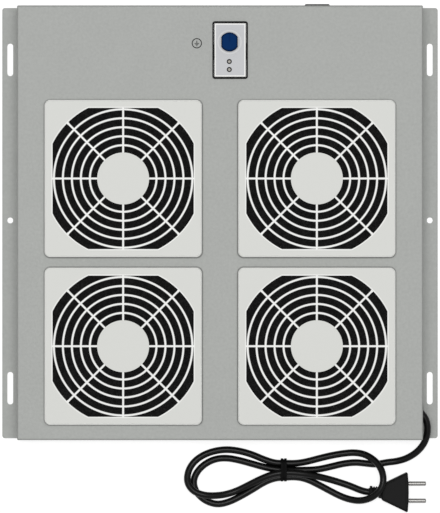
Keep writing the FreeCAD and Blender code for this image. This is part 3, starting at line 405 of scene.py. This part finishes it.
# %% Filter foam
filter_foam = Finish("filter_foam", (0.006, 0.006, 0.006), 0.9, gloss=0.05)
pore_black = (0.002, 0.002, 0.002)
strand_black = (0.022, 0.022, 0.022)
pores = filter_foam.cells(760)
clumps = filter_foam.grain(260)
strand = (pores * 1.5).at_most(1.0)
filter_foam.base(filter_foam.mix(strand * clumps, pore_black, strand_black))
filter_foam.bump(strand, 0.5 * MM)
tell(filter_foam)

# %% [markdown]
# ## Fan metal
# The fan housings are cast aluminium under black paint, the rotors are painted sheet steel,
# the windings are varnished copper and the fasteners are zinc plated. One dark metal for all
# would do from afar, but a casting's skin is rougher than a sheet's, and the open underside
# shows it, so each has its own grain.

# %% Fan finishes
fan_casting = Finish("fan_casting", (0.018, 0.018, 0.019), 0.48)
fan_casting.bump(fan_casting.grain(900, detail=3.0), 0.12 * MM)
rotor_black = Finish("rotor_black", (0.020, 0.020, 0.021), 0.36)
rotor_black.bump(rotor_black.grain(380), 0.05 * MM)
winding = Finish("winding", (0.32, 0.13, 0.05), 0.35, metallic=0.6)
winding.base(winding.mix(winding.grain(1100), (0.22, 0.08, 0.03), (0.42, 0.18, 0.07)))
winding.skin(2400, 0.12 * MM, 0.35, 0.2)
tell(fan_casting, rotor_black, winding)

# %% Plated metal
bright_steel = Finish("bright_steel", (0.56, 0.56, 0.55), 0.32, metallic=1.0)
bright_steel.rough(0.26 + 0.16 * bright_steel.grain(700))
pin_nickel = Finish("pin_nickel", (0.24, 0.236, 0.228), 0.4, metallic=1.0)
pin_nickel.rough(0.34 + 0.12 * pin_nickel.grain(420))
tell(bright_steel, pin_nickel)

# %% [markdown]
# ## Thermostat case
# The case is pale grey inside a black edge frame. A painted highlight stands for the light on
# the chamfer round its front, and painted shade darkens the fine gap between case and frame.
# A faint paler ring is painted round the knob, and painted shade darkens the two terminal
# wells inside. The case is one small solid, so its bands come from the distance to its edge
# and to the knob, and its wells from the height.

# %% Finish of the thermostat case
case_low, case_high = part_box("thermostat_body")
case_middle = middle("thermostat_body")
case_half_width = (case_high[0] - case_low[0]) / 2
case_half_length = (case_high[1] - case_low[1]) / 2
knob_middle = middle("thermostat_knob")
gap_width = 0.45 * MM
band_width = 1.9 * MM
dial_radius = 12.6 * MM
dial_half_width = 0.8 * MM
well_depth = 1.2 * MM
thermostat_case = Finish("thermostat_case", (0.565, 0.572, 0.588), 0.45, gloss=0.22)
x, y, z = thermostat_case.axes()
inside_width = case_half_width - (x - case_middle.x).size()
inside_length = case_half_length - (y - case_middle.y).size()
from_edge = inside_width.at_most(inside_length)
# Painted highlight on the front chamfer, and painted shade in the fine gap at the frame.
painted_chamfer_highlight = (from_edge < band_width) * (from_edge > gap_width)
gap_shade = from_edge < gap_width
knob_x = x - knob_middle.x
knob_y = y - knob_middle.y
from_knob = (knob_x * knob_x + knob_y * knob_y).root()
dial_ring = (from_knob - dial_radius).size() < dial_half_width
# Painted shade inside the terminal wells.
in_well = z < case_high[2] - well_depth
light = painted_chamfer_highlight.at_least(dial_ring * 0.3)
colour = thermostat_case.mix(light, thermostat_case.colour, (0.93, 0.93, 0.91))
shaded = thermostat_case.mix(in_well, colour, (0.16, 0.16, 0.165))
thermostat_case.base(thermostat_case.mix(gap_shade, shaded, (0.02, 0.02, 0.02)))
thermostat_case.skin(1800, 0.02 * MM, 0.45, 0.1)
bezel_black = Finish("bezel_black", (0.006, 0.006, 0.006), 0.5, gloss=0.06)
bezel_black.skin(1600, 0.03 * MM, 0.5, 0.1)
tell(thermostat_case, bezel_black)

# %% [markdown]
# ## Knob
# The blue knob is round with two flats, and its rounded rim gets a painted shade, darker than
# its flat top. A soft ramp over the outer part of the top gives the shade: the knob could be
# cut into two materials there, but the step between them would be hard.

# %% Finish of the knob
knob_round = 8.0 * MM
knob_flat = 6.6 * MM
knob_shade_width = 2.4 * MM
knob_blue = Finish("knob_blue", (0.001, 0.027, 0.118), 0.5, gloss=0.02)
x, y, _ = knob_blue.axes()
knob_x = (x - knob_middle.x).size()
knob_y = (y - knob_middle.y).size()
to_round = (knob_x * knob_x + knob_y * knob_y).root() - knob_round
to_flat = knob_x - knob_flat
# Painted shade: the rim darkens towards the knob's round and flat edges.
painted_knob_rim_shade = (to_round.at_least(to_flat) * (1 / knob_shade_width)).at_least(0.0).at_most(1.0)
knob_blue.base(knob_blue.mix(painted_knob_rim_shade, knob_blue.colour, (0.001, 0.008, 0.030)))
knob_blue.skin(1600, 0.02 * MM, 0.5, 0.1)
tell(knob_blue)

# %% [markdown]
# ## Terminal screws
# Each terminal screw sits in a well, with a bright head and a painted shade on its edge, where
# the well's wall keeps the light off it. Both screws are one node, so the point is folded
# about the line between them, and the distance from the nearer screw's middle tells head from
# edge.
# The terminal block under the face is pale plastic with a fine grain.

# %% Finishes of terminal screws and block
screws_low, screws_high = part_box("thermostat_terminals")
screw_radius = (screws_high[0] - screws_low[0]) / 2
screw_middle_y = (screws_low[1] + screws_high[1]) / 2
screw_half_gap = (screws_high[1] - screws_low[1]) / 2 - screw_radius
head_share = 0.58
screw_steel = Finish("screw_steel", (0.50, 0.48, 0.44), 0.6, gloss=0.14)
x, y, _ = screw_steel.axes()
screw_across = x - (screws_low[0] + screw_radius)
screw_along = (y - screw_middle_y).size() - screw_half_gap
from_screw = (screw_across * screw_across + screw_along * screw_along).root()
shaded_screw_edge = from_screw > head_share * screw_radius
# Painted shade on the screw's edge, where the well's wall keeps the light off.
screw_steel.base(screw_steel.mix(shaded_screw_edge, screw_steel.colour, (0.02, 0.02, 0.022)))
screw_steel.skin(2200, 0.02 * MM, 0.6, 0.2)
terminal_white = Finish("terminal_white", (0.74, 0.73, 0.69), 0.45)
terminal_white.skin(1500, 0.03 * MM, 0.45, 0.12)
tell(screw_steel, terminal_white)

# %% [markdown]
# ## Black plastics and rubber
# The lead's sheath is smooth black PVC with a soft sheen, and the plug's mould leaves a
# rougher skin. The rubber grommet and the nylon tie are duller. All four are nearly the same
# black, so it is the gloss and the grain that keep them apart, more than the colour.

# %% Finishes of lead, plug, grommet and tie
lead_black = Finish("lead_black", (0.0015, 0.0015, 0.0015), 0.34, gloss=0.15)
lead_black.bump(lead_black.grain(420, detail=3.0), 0.06 * MM)
plug_black = Finish("plug_black", (0.007, 0.007, 0.007), 0.55, gloss=0.08)
plug_black.bump(plug_black.grain(1500, detail=3.0), 0.05 * MM)
grommet_rubber = Finish("grommet_rubber", (0.010, 0.010, 0.010), 0.6, gloss=0.25)
grommet_rubber.skin(900, 0.05 * MM, 0.6, 0.15)
tie_black = Finish("tie_black", (0.004, 0.004, 0.004), 0.55, gloss=0.03)
tie_black.skin(1200, 0.04 * MM, 0.55, 0.12)
tell(lead_black, plug_black, grommet_rubber, tie_black)

# %% [markdown]
# ## Finishes on the solids
# The record names a material slot for each solid. The solids could be dressed one by one, but
# a table from slot to finish keeps them apart from the shapes, and one loop reads it. Only the
# terminal screws need a finish of their own, because their slot is shared with other metal.

# %% Dress the solids
finishes = {
    "pan_paint": powder_coat,
    "guard_plastic": guard_plastic,
    "base_plastic": base_plastic,
    "filter_foam": filter_foam,
    "fan_casting": fan_casting,
    "rotor_black": rotor_black,
    "winding": winding,
    "bright_steel": bright_steel,
    "thermostat_case": thermostat_case,
    "bezel_black": bezel_black,
    "knob_blue": knob_blue,
    "terminal_white": terminal_white,
    "lead_black": lead_black,
    "grommet_rubber": grommet_rubber,
    "tie_black": tie_black,
    "plug_black": plug_black,
    "pin_nickel": pin_nickel,
}
own_finishes = {"thermostat_terminals": screw_steel}
for subpart in frame["record"]["subparts"]:
    name = subpart["node"]
    materials = nodes[name].data.materials
    finish = own_finishes.get(name, finishes[subpart["material_slot"]])
    materials.clear()
    materials.append(finish.material)

# %% [markdown]
# ## Making a piece
# Each new piece starts as a bmesh, is shaped by bmesh operators and ends as an object at the
# origin that rides on the tray. The same few lines end every piece, so they are one function.
# A box is a stretched cube. A round piece could start as a cylinder and be cut down, but it
# is simpler to draw half its outline and spin it, as it would be turned on a lathe.


# %% From bmesh to a piece
def piece(name, shape, slot, smooth_below=40):
    """Ends a bmesh as a named object that rides on the tray and has a slot's finish."""
    mesh = bpy.data.meshes.new(name)
    shape.to_mesh(mesh)
    shape.free()
    made = bpy.data.objects.new(name, mesh)
    bpy.context.scene.collection.objects.link(made)
    mesh.materials.append(finishes[slot].material)
    if smooth_below:
        mesh.shade_smooth()
        mesh.set_sharp_from_angle(angle=math.radians(smooth_below))
    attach(made, "tray")
    print(name, "faces:", len(mesh.polygons))
    return made


def new_points(geometry):
    """The points among what an operator returned."""
    return [part for part in geometry if isinstance(part, bmesh.types.BMVert)]


def block(shape, centre, size):
    """Adds a box of three side lengths to a bmesh."""
    matrix = Matrix.Translation(centre) @ Matrix.Diagonal((*size, 1))
    bmesh.ops.create_cube(shape, size=1, matrix=matrix)


def spun(profile, centre, axis, side, steps=48):
    """Turns a (distance along the axis, radius) profile once round the axis."""
    shape = bmesh.new()
    points = [shape.verts.new(centre + axis * run + side * radius) for run, radius in profile]
    edges = [shape.edges.new(pair) for pair in zip(points, points[1:])]
    bmesh.ops.spin(
        shape, geom=points + edges, cent=centre, axis=axis, angle=math.tau, steps=steps,
        use_merge=True)
    bmesh.ops.remove_doubles(shape, verts=shape.verts[:], dist=0.001 * MM)
    bmesh.ops.recalc_face_normals(shape, faces=shape.faces[:])
    return shape


print("slots with a finish:", len(finishes))

# %% [markdown]
# ## The mains lead
# The lead is one length of round cable. It leaves the side wall through a grommet, falls to
# the floor beside the flange and is tied in a flat figure of eight, with the plug's end lying
# on top at the tie. A simulated rope would fall in its own loops, so the route is given point
# by point. The points of each stretch are in millimetres. The lead's middle is 3.8 mm high
# where it lies on the floor, and where it crosses itself it rises in a low hump by one
# thickness, or by two where two runs lie below it.

# %% Route of the lead
lead_radius = 3.8 * MM
wall_to_floor = [
    (218.15, -206.03, 20.0), (225.35, -212.97, 20.0), (229.0, -222.0, 19.2),
    (229.2, -233.0, 17.4), (225.7, -244.2, 14.6), (217.8, -254.0, 11.0),
    (206.2, -261.4, 6.8), (194.5, -264.6, 3.8), (185.5, -265.4, 3.8),
]
under_the_loop_to_the_tie = [
    (172.7, -267.9, 3.8), (161.9, -266.7, 3.8), (149.7, -265.4, 3.8), (136.4, -266.9, 3.8),
    (122.0, -270.5, 3.8), (107.6, -273.6, 3.9), (92.0, -274.2, 4.4), (77.6, -273.9, 5.1),
    (63.2, -273.7, 5.1),
]
left_inner_turn = [
    (48.8, -270.8, 4.0), (33.3, -266.4, 3.8), (20.0, -262.8, 3.8), (7.8, -260.6, 3.8),
    (-4.4, -261.4, 3.8), (-16.1, -266.6, 3.8), (-25.2, -275.2, 3.8), (-29.6, -285.3, 3.8),
    (-28.2, -294.9, 3.8), (-22.8, -302.9, 3.8),
]
left_outer_return = [
    (-13.9, -309.3, 3.8), (-2.2, -312.4, 3.8), (10.5, -309.3, 3.8), (23.3, -302.9, 3.8),
    (36.6, -295.2, 3.8), (49.3, -287.1, 4.1), (61.0, -282.7, 5.0),
]
right_loop = [
    (73.2, -281.9, 5.1), (85.4, -281.6, 4.4), (96.8, -284.2, 3.8), (108.7, -290.0, 3.8),
    (120.9, -296.6, 3.8), (133.1, -302.9, 4.6), (144.2, -306.7, 7.0), (155.2, -307.8, 10.8),
    (165.2, -305.1, 15.0), (173.5, -299.4, 18.0), (178.9, -292.0, 19.1), (180.5, -283.7, 18.8),
    (179.4, -275.4, 16.4), (175.2, -267.2, 13.0), (168.0, -260.5, 9.6), (158.6, -255.8, 6.4),
    (148.0, -254.5, 4.4), (136.4, -255.6, 3.8), (123.1, -257.9, 3.8), (109.8, -261.1, 3.8),
    (96.5, -264.7, 4.0), (84.3, -266.7, 4.8),
]
left_outer_turn = [
    (71.0, -266.4, 5.1), (61.0, -266.4, 4.8), (48.8, -262.5, 3.9), (35.5, -256.7, 3.8),
    (22.2, -252.9, 3.8), (7.8, -251.0, 3.8), (-6.7, -252.8, 3.8), (-20.0, -257.9, 3.8),
    (-30.2, -266.0, 4.2), (-35.9, -276.5, 6.4), (-36.4, -288.2, 9.4), (-29.3, -297.5, 11.6),
    (-17.7, -301.5, 12.2),
]
left_inner_return = [
    (-6.7, -302.2, 9.8), (5.5, -301.2, 6.2), (18.3, -297.3, 5.0), (31.0, -290.8, 7.0),
    (44.4, -283.8, 9.8), (56.6, -278.7, 11.6),
]
over_the_tie_to_the_plug = [
    (69.9, -276.2, 12.0), (84.3, -276.7, 11.4), (97.6, -278.6, 10.2), (109.8, -281.3, 6.8),
    (122.0, -284.5, 4.2), (134.2, -288.2, 3.8), (145.3, -292.0, 4.4), (154.7, -296.0, 6.2),
    (163.0, -298.3, 7.5), (169.0, -298.3, 7.5),
]
lead_points = [
    Vector(point) * MM
    for stretch in (
        wall_to_floor, under_the_loop_to_the_tie, left_inner_turn, left_outer_return,
        right_loop, left_outer_turn, left_inner_return, over_the_tie_to_the_plug,
    )
    for point in stretch
]
print("lead points:", len(lead_points))

# %% [markdown]
# ## From points to a round line
# Straight tubes with rounded corners would look like bent wire. A NURBS curve with the points
# as its control points bends all the way, as a cable does, and a round bevel gives it the same
# thickness everywhere. Its order and its fixed ends are set once the points are there.


# %% The lead as a curve
def smooth_line(name, points, radius, slot):
    """Round flexible line along given points."""
    line = bpy.data.curves.new(name, "CURVE")
    line.dimensions = "3D"
    spline = line.splines.new("NURBS")
    spline.points.add(len(points) - 1)
    for control, place in zip(spline.points, points):
        control.co = (*place, 1)
    spline.order_u = 3
    spline.use_endpoint_u = True
    spline.resolution_u = 8
    line.bevel_depth = radius
    line.bevel_resolution = 8
    line.use_fill_caps = True
    made = bpy.data.objects.new(name, line)
    bpy.context.scene.collection.objects.link(made)
    line.materials.append(finishes[slot].material)
    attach(made, "tray")
    return made


mains_lead = smooth_line("mains_lead", lead_points, lead_radius, "lead_black")
print("lead thickness:", round(2 * lead_radius / MM, 1), "mm")

# %% [markdown]
# ## How long the lead is
# A cord is sold by its length, so the route has to add up to the real one. The runs between
# the points would overstate it, because the curve cuts inside their corners. From the middle
# of one run to the middle of the next the curve is a quadratic one, so short steps along each
# are added up.


# %% Length of the lead
def bend_length(points, steps=16):
    """Length of the quadratic curve through the middles of the control runs."""
    middles = [(a + b) / 2 for a, b in zip(points, points[1:])]
    total = (middles[0] - points[0]).length + (points[-1] - middles[-1]).length
    for first, corner, last in zip(middles, points[1:-1], middles[1:]):
        before = first
        for step in range(1, steps + 1):
            t = step / steps
            here = first * (1 - t) ** 2 + corner * (2 * t * (1 - t)) + last * t ** 2
            total += (here - before).length
            before = here
    return total


lead_length = bend_length(lead_points)
print("free lead:", round(lead_length, 3), "m")

# %% [markdown]
# ## Plug
# The plug is moulded in one piece round its pins: a flat wedge with rounded edges, a slightly
# sunk panel on each broad side, and a fine parting line half way up where the mould closed. It
# could be carved from a block, but its outline is a polygon, so that is extruded and its outer
# edges are bevelled. The broad faces are inset and pushed in, and the parting line is a row of
# points pulled inwards.

# %% Sizes of the plug body
plug_low, plug_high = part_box("plug_body")
plug_middle = middle("plug_body")
plug_rear_half = 8.4 * MM
plug_front_half = 22.4 * MM
plug_bow = 1.2 * MM
plug_edge_round = 1.9 * MM
panel_margin = 2.9 * MM
panel_step = 0.35 * MM
panel_sink = 0.4 * MM
parting_half = 0.35 * MM
parting_depth = 0.25 * MM
print("plug:", round((plug_high[0] - plug_low[0]) / MM, 1), "mm long")


# %% Moulded plug body
def moulded_plug():
    """Flat wedge with a bowed front, sunk panels and a parting line."""
    corners = [(plug_low[0], -plug_rear_half)]
    for step in (-1.0, -0.5, 0.0, 0.5, 1.0):
        corners.append((plug_high[0] - plug_bow * step * step, plug_front_half * step))
    corners.append((plug_low[0], plug_rear_half))
    shape = bmesh.new()
    ring = [shape.verts.new((x, plug_middle.y + y, plug_low[2])) for x, y in corners]
    floor_face = shape.faces.new(ring)
    grown = bmesh.ops.extrude_face_region(shape, geom=[floor_face])["geom"]
    bmesh.ops.translate(
        shape, verts=new_points(grown), vec=(0, 0, plug_high[2] - plug_low[2]))
    bmesh.ops.recalc_face_normals(shape, faces=shape.faces[:])
    outer = [edge for edge in shape.edges if edge.calc_face_angle(0) > math.radians(25)]
    for face in [face for face in shape.faces if abs(face.normal.z) > 0.99]:
        up = face.normal.z
        bmesh.ops.inset_region(shape, faces=[face], thickness=panel_margin)
        bmesh.ops.inset_region(shape, faces=[face], thickness=panel_step)
        bmesh.ops.translate(shape, verts=face.verts[:], vec=(0, 0, -panel_sink * up))
    bmesh.ops.bevel(
        shape, geom=outer, offset=plug_edge_round, segments=5, profile=0.5, material=-1,
        affect="EDGES")
    for height in (-parting_half, 0.0, parting_half):
        bmesh.ops.bisect_plane(
            shape, geom=shape.verts[:] + shape.edges[:] + shape.faces[:],
            plane_co=(0, 0, plug_middle.z + height), plane_no=(0, 0, 1))
    shape.normal_update()
    for vertex in shape.verts:
        if abs(vertex.co.z - plug_middle.z) < 0.01 * MM:
            vertex.co -= vertex.normal * parting_depth
    return shape


plug = piece("moulded_plug", moulded_plug(), "plug_black", smooth_below=35)
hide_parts("plug_body")

# %% [markdown]
# ## Strain relief
# Where the lead enters the plug it is held by a moulded sleeve with a broad collar and ribs
# that let it bend without a kink. Rings could be stacked on a tube, but the sleeve is one
# moulding and round all over, so its outline is drawn once and spun.

# %% Ribbed sleeve
relief_start = middle("plug_strain_relief")
relief_start.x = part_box("plug_strain_relief")[0][0]
relief_profile = [
    (-1.5, 3.7), (-1.4, 4.4), (0.0, 4.8), (0.0, 6.5), (0.5, 7.0), (2.4, 7.0), (2.9, 6.5),
    (2.9, 5.3), (3.9, 5.3), (4.1, 6.3), (5.4, 6.3), (5.6, 5.3), (6.6, 5.3), (6.8, 6.4),
    (8.1, 6.4), (8.3, 5.5), (9.3, 5.5), (9.6, 6.6), (11.2, 6.9), (12.7, 7.2), (12.7, 0.1),
]
relief = piece(
    "ribbed_sleeve",
    spun([(run * MM, radius * MM) for run, radius in relief_profile], relief_start,
         Vector((1, 0, 0)), Vector((0, 0, 1))),
    "plug_black", smooth_below=50)
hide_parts("plug_strain_relief")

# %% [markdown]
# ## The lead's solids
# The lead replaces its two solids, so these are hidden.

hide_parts("mains_cord", "cord_hank")
print("the lead leaves the wall at", [round(v, 4) for v in lead_points[0]])

# %% [markdown]
# ## Filter pads
# Each pad is a slab of foam that bulges and sinks a little between the ribs. Bump in the
# finish can't be seen at the slab's edge, so the shape is lumpy too. Its top is a grid whose
# points are pushed up and down by noise of two sizes, its sides are the grid's edge pulled
# down, and its underside is one flat face, as it lies flat on its base.


# %% Lumpy foam slabs
def lump(place):
    """How far the foam stands up at a point, in metres."""
    return (noise.noise(place * 420) * 0.45 + noise.noise(place * 90) * 0.25) * MM


def foam_slab(number):
    """Slab in the place of a filter pad, with a lumpy top."""
    low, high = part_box(f"filter_pad_{number}")
    centre = middle(f"filter_pad_{number}")
    half = (high[0] - low[0]) / 2
    shape = bmesh.new()
    bmesh.ops.create_grid(
        shape, x_segments=110, y_segments=110, size=half,
        matrix=Matrix.Translation((centre.x, centre.y, high[2])))
    rim = [edge for edge in shape.edges if edge.is_boundary]
    for vertex in shape.verts:
        if not vertex.is_boundary:
            vertex.co.z += lump(vertex.co)
    skirt = bmesh.ops.extrude_edge_only(shape, edges=rim)["geom"]
    for vertex in new_points(skirt):
        vertex.co.z = low[2]
    open_edges = [edge for edge in shape.edges if edge.is_boundary]
    bmesh.ops.holes_fill(shape, edges=open_edges, sides=0)
    bmesh.ops.recalc_face_normals(shape, faces=shape.faces[:])
    return shape


for number in guard_numbers:
    pad = piece(f"foam_slab_{number}", foam_slab(number), "filter_foam")
    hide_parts(f"filter_pad_{number}")

# %% [markdown]
# ## Blanking plug
# A push-in plug closes the spare cut-out in the rear wall. Its lip carries a raised panel that
# a thumb presses on. The panel could be part of the solid, but it is thin trim that only
# shows as a highlight, so it is a block here, stretched to size, with its edges bevelled.

# %% Raised panel on the blanking plug
lip_low, lip_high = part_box("rear_plug")
panel_rise = 1.1 * MM
panel_foot = 0.05 * MM
panel_round = 0.45 * MM
lip_margin = 0.8 * MM


def raised_panel():
    """Rounded block that stands on the lip and is sunk into it by its foot."""
    centre = middle("rear_plug")
    centre.y = lip_high[1] + panel_rise / 2 - panel_foot
    size = (
        lip_high[0] - lip_low[0] - 2 * lip_margin, panel_rise,
        lip_high[2] - lip_low[2] - 2 * lip_margin)
    shape = bmesh.new()
    block(shape, centre, size)
    bmesh.ops.bevel(
        shape, geom=shape.edges[:], offset=panel_round, segments=3, profile=0.5, material=-1,
        affect="EDGES")
    return shape


piece("blanking_plug_panel", raised_panel(), "bezel_black")

# %% [markdown]
# ## Earth mark
# The standard earth mark shows where the earth stud sits behind the face: a circle round a
# stem and three bars that get shorter. It is printed in thick dark ink. A mask in the paint's
# finish would do, but the ink stands up a little and catches the light, so it is a thin shape:
# a flat ring that is spun, and four blocks.

# %% Ink and sizes of the earth mark
ink = Finish("ink", (0.02, 0.02, 0.02), 0.6, gloss=0.1)
ink.skin(3000, 0.01 * MM, 0.6, 0.2)
finishes["ink"] = ink
ink_height = 0.12 * MM
ring_outer, ring_inner = 5.6 * MM, 4.6 * MM
strokes = {
    "stem": (1.5, 0.8, 2.8),
    "long bar": (-0.1, 5.0, 0.7),
    "middle bar": (-1.4, 3.2, 0.7),
    "short bar": (-2.7, 1.4, 0.7),
}
stud_middle = middle("earth_stud")
mark_centre = Vector((stud_middle.x, stud_middle.y, face_top))
tell(ink)


# %% Printed earth mark
def earth_mark():
    """Ring, stem and bars, as high as the ink is thick."""
    ring = [
        (0, ring_inner), (ink_height, ring_inner), (ink_height, ring_outer), (0, ring_outer),
        (0, ring_inner),
    ]
    shape = spun(ring, mark_centre, Vector((0, 0, 1)), Vector((1, 0, 0)))
    for along, width, length in strokes.values():
        centre = mark_centre + Vector((0, along * MM, ink_height / 2))
        block(shape, centre, (width * MM, length * MM, ink_height))
    return shape


piece("earth_mark", earth_mark(), "ink", smooth_below=0)

# %% [markdown]
# ## Floor
# The tray lies face up on a white floor. A brighter lamp would make the floor white and burn
# out the pale guards too. Instead the floor glows a little, but only towards the camera, the
# reflections and what is seen through glass, so that it keeps the tray's soft shadow and
# throws no extra light on it.

# %% White floor
floor_half = 6
floor_drop = 0.2 * MM
glow_strength = 1.25
glow_share = 0.62
floor_mesh = bpy.data.meshes.new("floor")
floor_shape = bmesh.new()
bmesh.ops.create_grid(
    floor_shape, x_segments=1, y_segments=1, size=floor_half,
    matrix=Matrix.Translation((0, 0, -floor_drop)))
floor_shape.to_mesh(floor_mesh)
floor_shape.free()
floor = bpy.data.objects.new("floor", floor_mesh)
bpy.context.scene.collection.objects.link(floor)
floor_paint = Finish("floor_paint", (0.9, 0.9, 0.9), 0.9)
ray = floor_paint.node("ShaderNodeLightPath")
seen = ray.value("Is Camera Ray").at_least(ray.value("Is Glossy Ray"))
seen = seen.at_least(ray.value("Is Transmission Ray"))
glow = floor_paint.node("ShaderNodeEmission", inputs={
    "Color": (1.0, 1.0, 1.0), "Strength": glow_strength})
both = floor_paint.node("ShaderNodeMixShader", inputs={
    0: seen * glow_share, 1: floor_paint.shader.outputs["BSDF"],
    2: glow.socket("Emission")})
floor_paint.put(
    floor_paint.tree.nodes["Material Output"].inputs["Surface"], both.socket())
floor_mesh.materials.append(floor_paint.material)
print("floor:", 2 * floor_half, "m wide,", round(floor_drop / MM, 1), "mm below the tray")

# %% [markdown]
# ## Sky
# The sky is the fill light. It has two strengths: a plain low one for what it lights, and
# white for the camera, the reflections and what is seen through glass. One strength for both
# would either grey the background or drown the shadows.

# %% Two strengths of white
fill_strength = 0.37
white_strength = 1.0
world = bpy.data.worlds.new("studio")
bpy.context.scene.world = world
world.use_nodes = True
sky_nodes = world.node_tree.nodes
sky_links = world.node_tree.links
fill = sky_nodes["Background"]
fill.inputs["Color"].default_value = (1, 1, 1, 1)
fill.inputs["Strength"].default_value = fill_strength
white = sky_nodes.new("ShaderNodeBackground")
white.inputs["Strength"].default_value = white_strength
rays = sky_nodes.new("ShaderNodeLightPath")
seen_white = rays.outputs["Is Camera Ray"]
for kind in ("Is Glossy Ray", "Is Transmission Ray"):
    either = sky_nodes.new("ShaderNodeMath")
    either.operation = "MAXIMUM"
    sky_links.new(seen_white, either.inputs[0])
    sky_links.new(rays.outputs[kind], either.inputs[1])
    seen_white = either.outputs[0]
choose = sky_nodes.new("ShaderNodeMixShader")
sky_links.new(seen_white, choose.inputs[0])
sky_links.new(fill.outputs[0], choose.inputs[1])
sky_links.new(white.outputs[0], choose.inputs[2])
sky_links.new(choose.outputs[0], sky_nodes["World Output"].inputs["Surface"])
print("sky nodes:", len(sky_nodes))

# %% [markdown]
# ## Lamps
# Two large square lamps high above the tray give soft shadows that fall almost straight down.
# One lamp would shade one side of each guard, and a small one would draw hard lines, so there
# is one on each side of the middle, a little towards the rear.


# %% Two soft lamps
def soft_lamp(name, place, power, width):
    """Square area lamp that faces the middle of the tray."""
    lamp = bpy.data.lights.new(name, "AREA")
    lamp.shape = "SQUARE"
    lamp.size = width
    lamp.energy = power
    made = bpy.data.objects.new(name, lamp)
    made.location = place
    made.rotation_euler = (-Vector(place)).to_track_quat("-Z", "Y").to_euler()
    bpy.context.scene.collection.objects.link(made)
    print(name, "power:", power, "W")


lamp_across, lamp_along, lamp_height = 0.42, 0.2, 4.1
lamp_power, lamp_width = 46.5, 1.2
soft_lamp(
    "left_softbox", (-lamp_across, lamp_along, lamp_height), lamp_power, lamp_width)
soft_lamp(
    "right_softbox", (lamp_across, lamp_along, lamp_height), lamp_power, lamp_width)

# %% [markdown]
# ## Camera
# The tray is seen from straight above. A near camera would show the guards' side walls, so it
# stands high with a long lens. The lens follows from the camera's height and from the stretch
# of floor that the longer side of the frame takes in.

# %% Camera above the tray
camera_height = 3.9
camera_along = -0.0375
view_across = 0.5689
camera_data = bpy.data.cameras.new("camera")
camera_data.sensor_fit = "AUTO"
camera_data.sensor_width = 36
camera_data.lens = camera_data.sensor_width * camera_height / view_across
camera_data.clip_end = 50
camera = bpy.data.objects.new("camera", camera_data)
camera.location = (0, camera_along, camera_height)
bpy.context.scene.collection.objects.link(camera)
bpy.context.scene.camera = camera
bpy.context.scene.view_settings.view_transform = "Standard"
print("lens:", round(camera_data.lens, 1), "mm")

# %% [markdown]
# ## Size
# The dressed tray has to stay as large as the packed part.
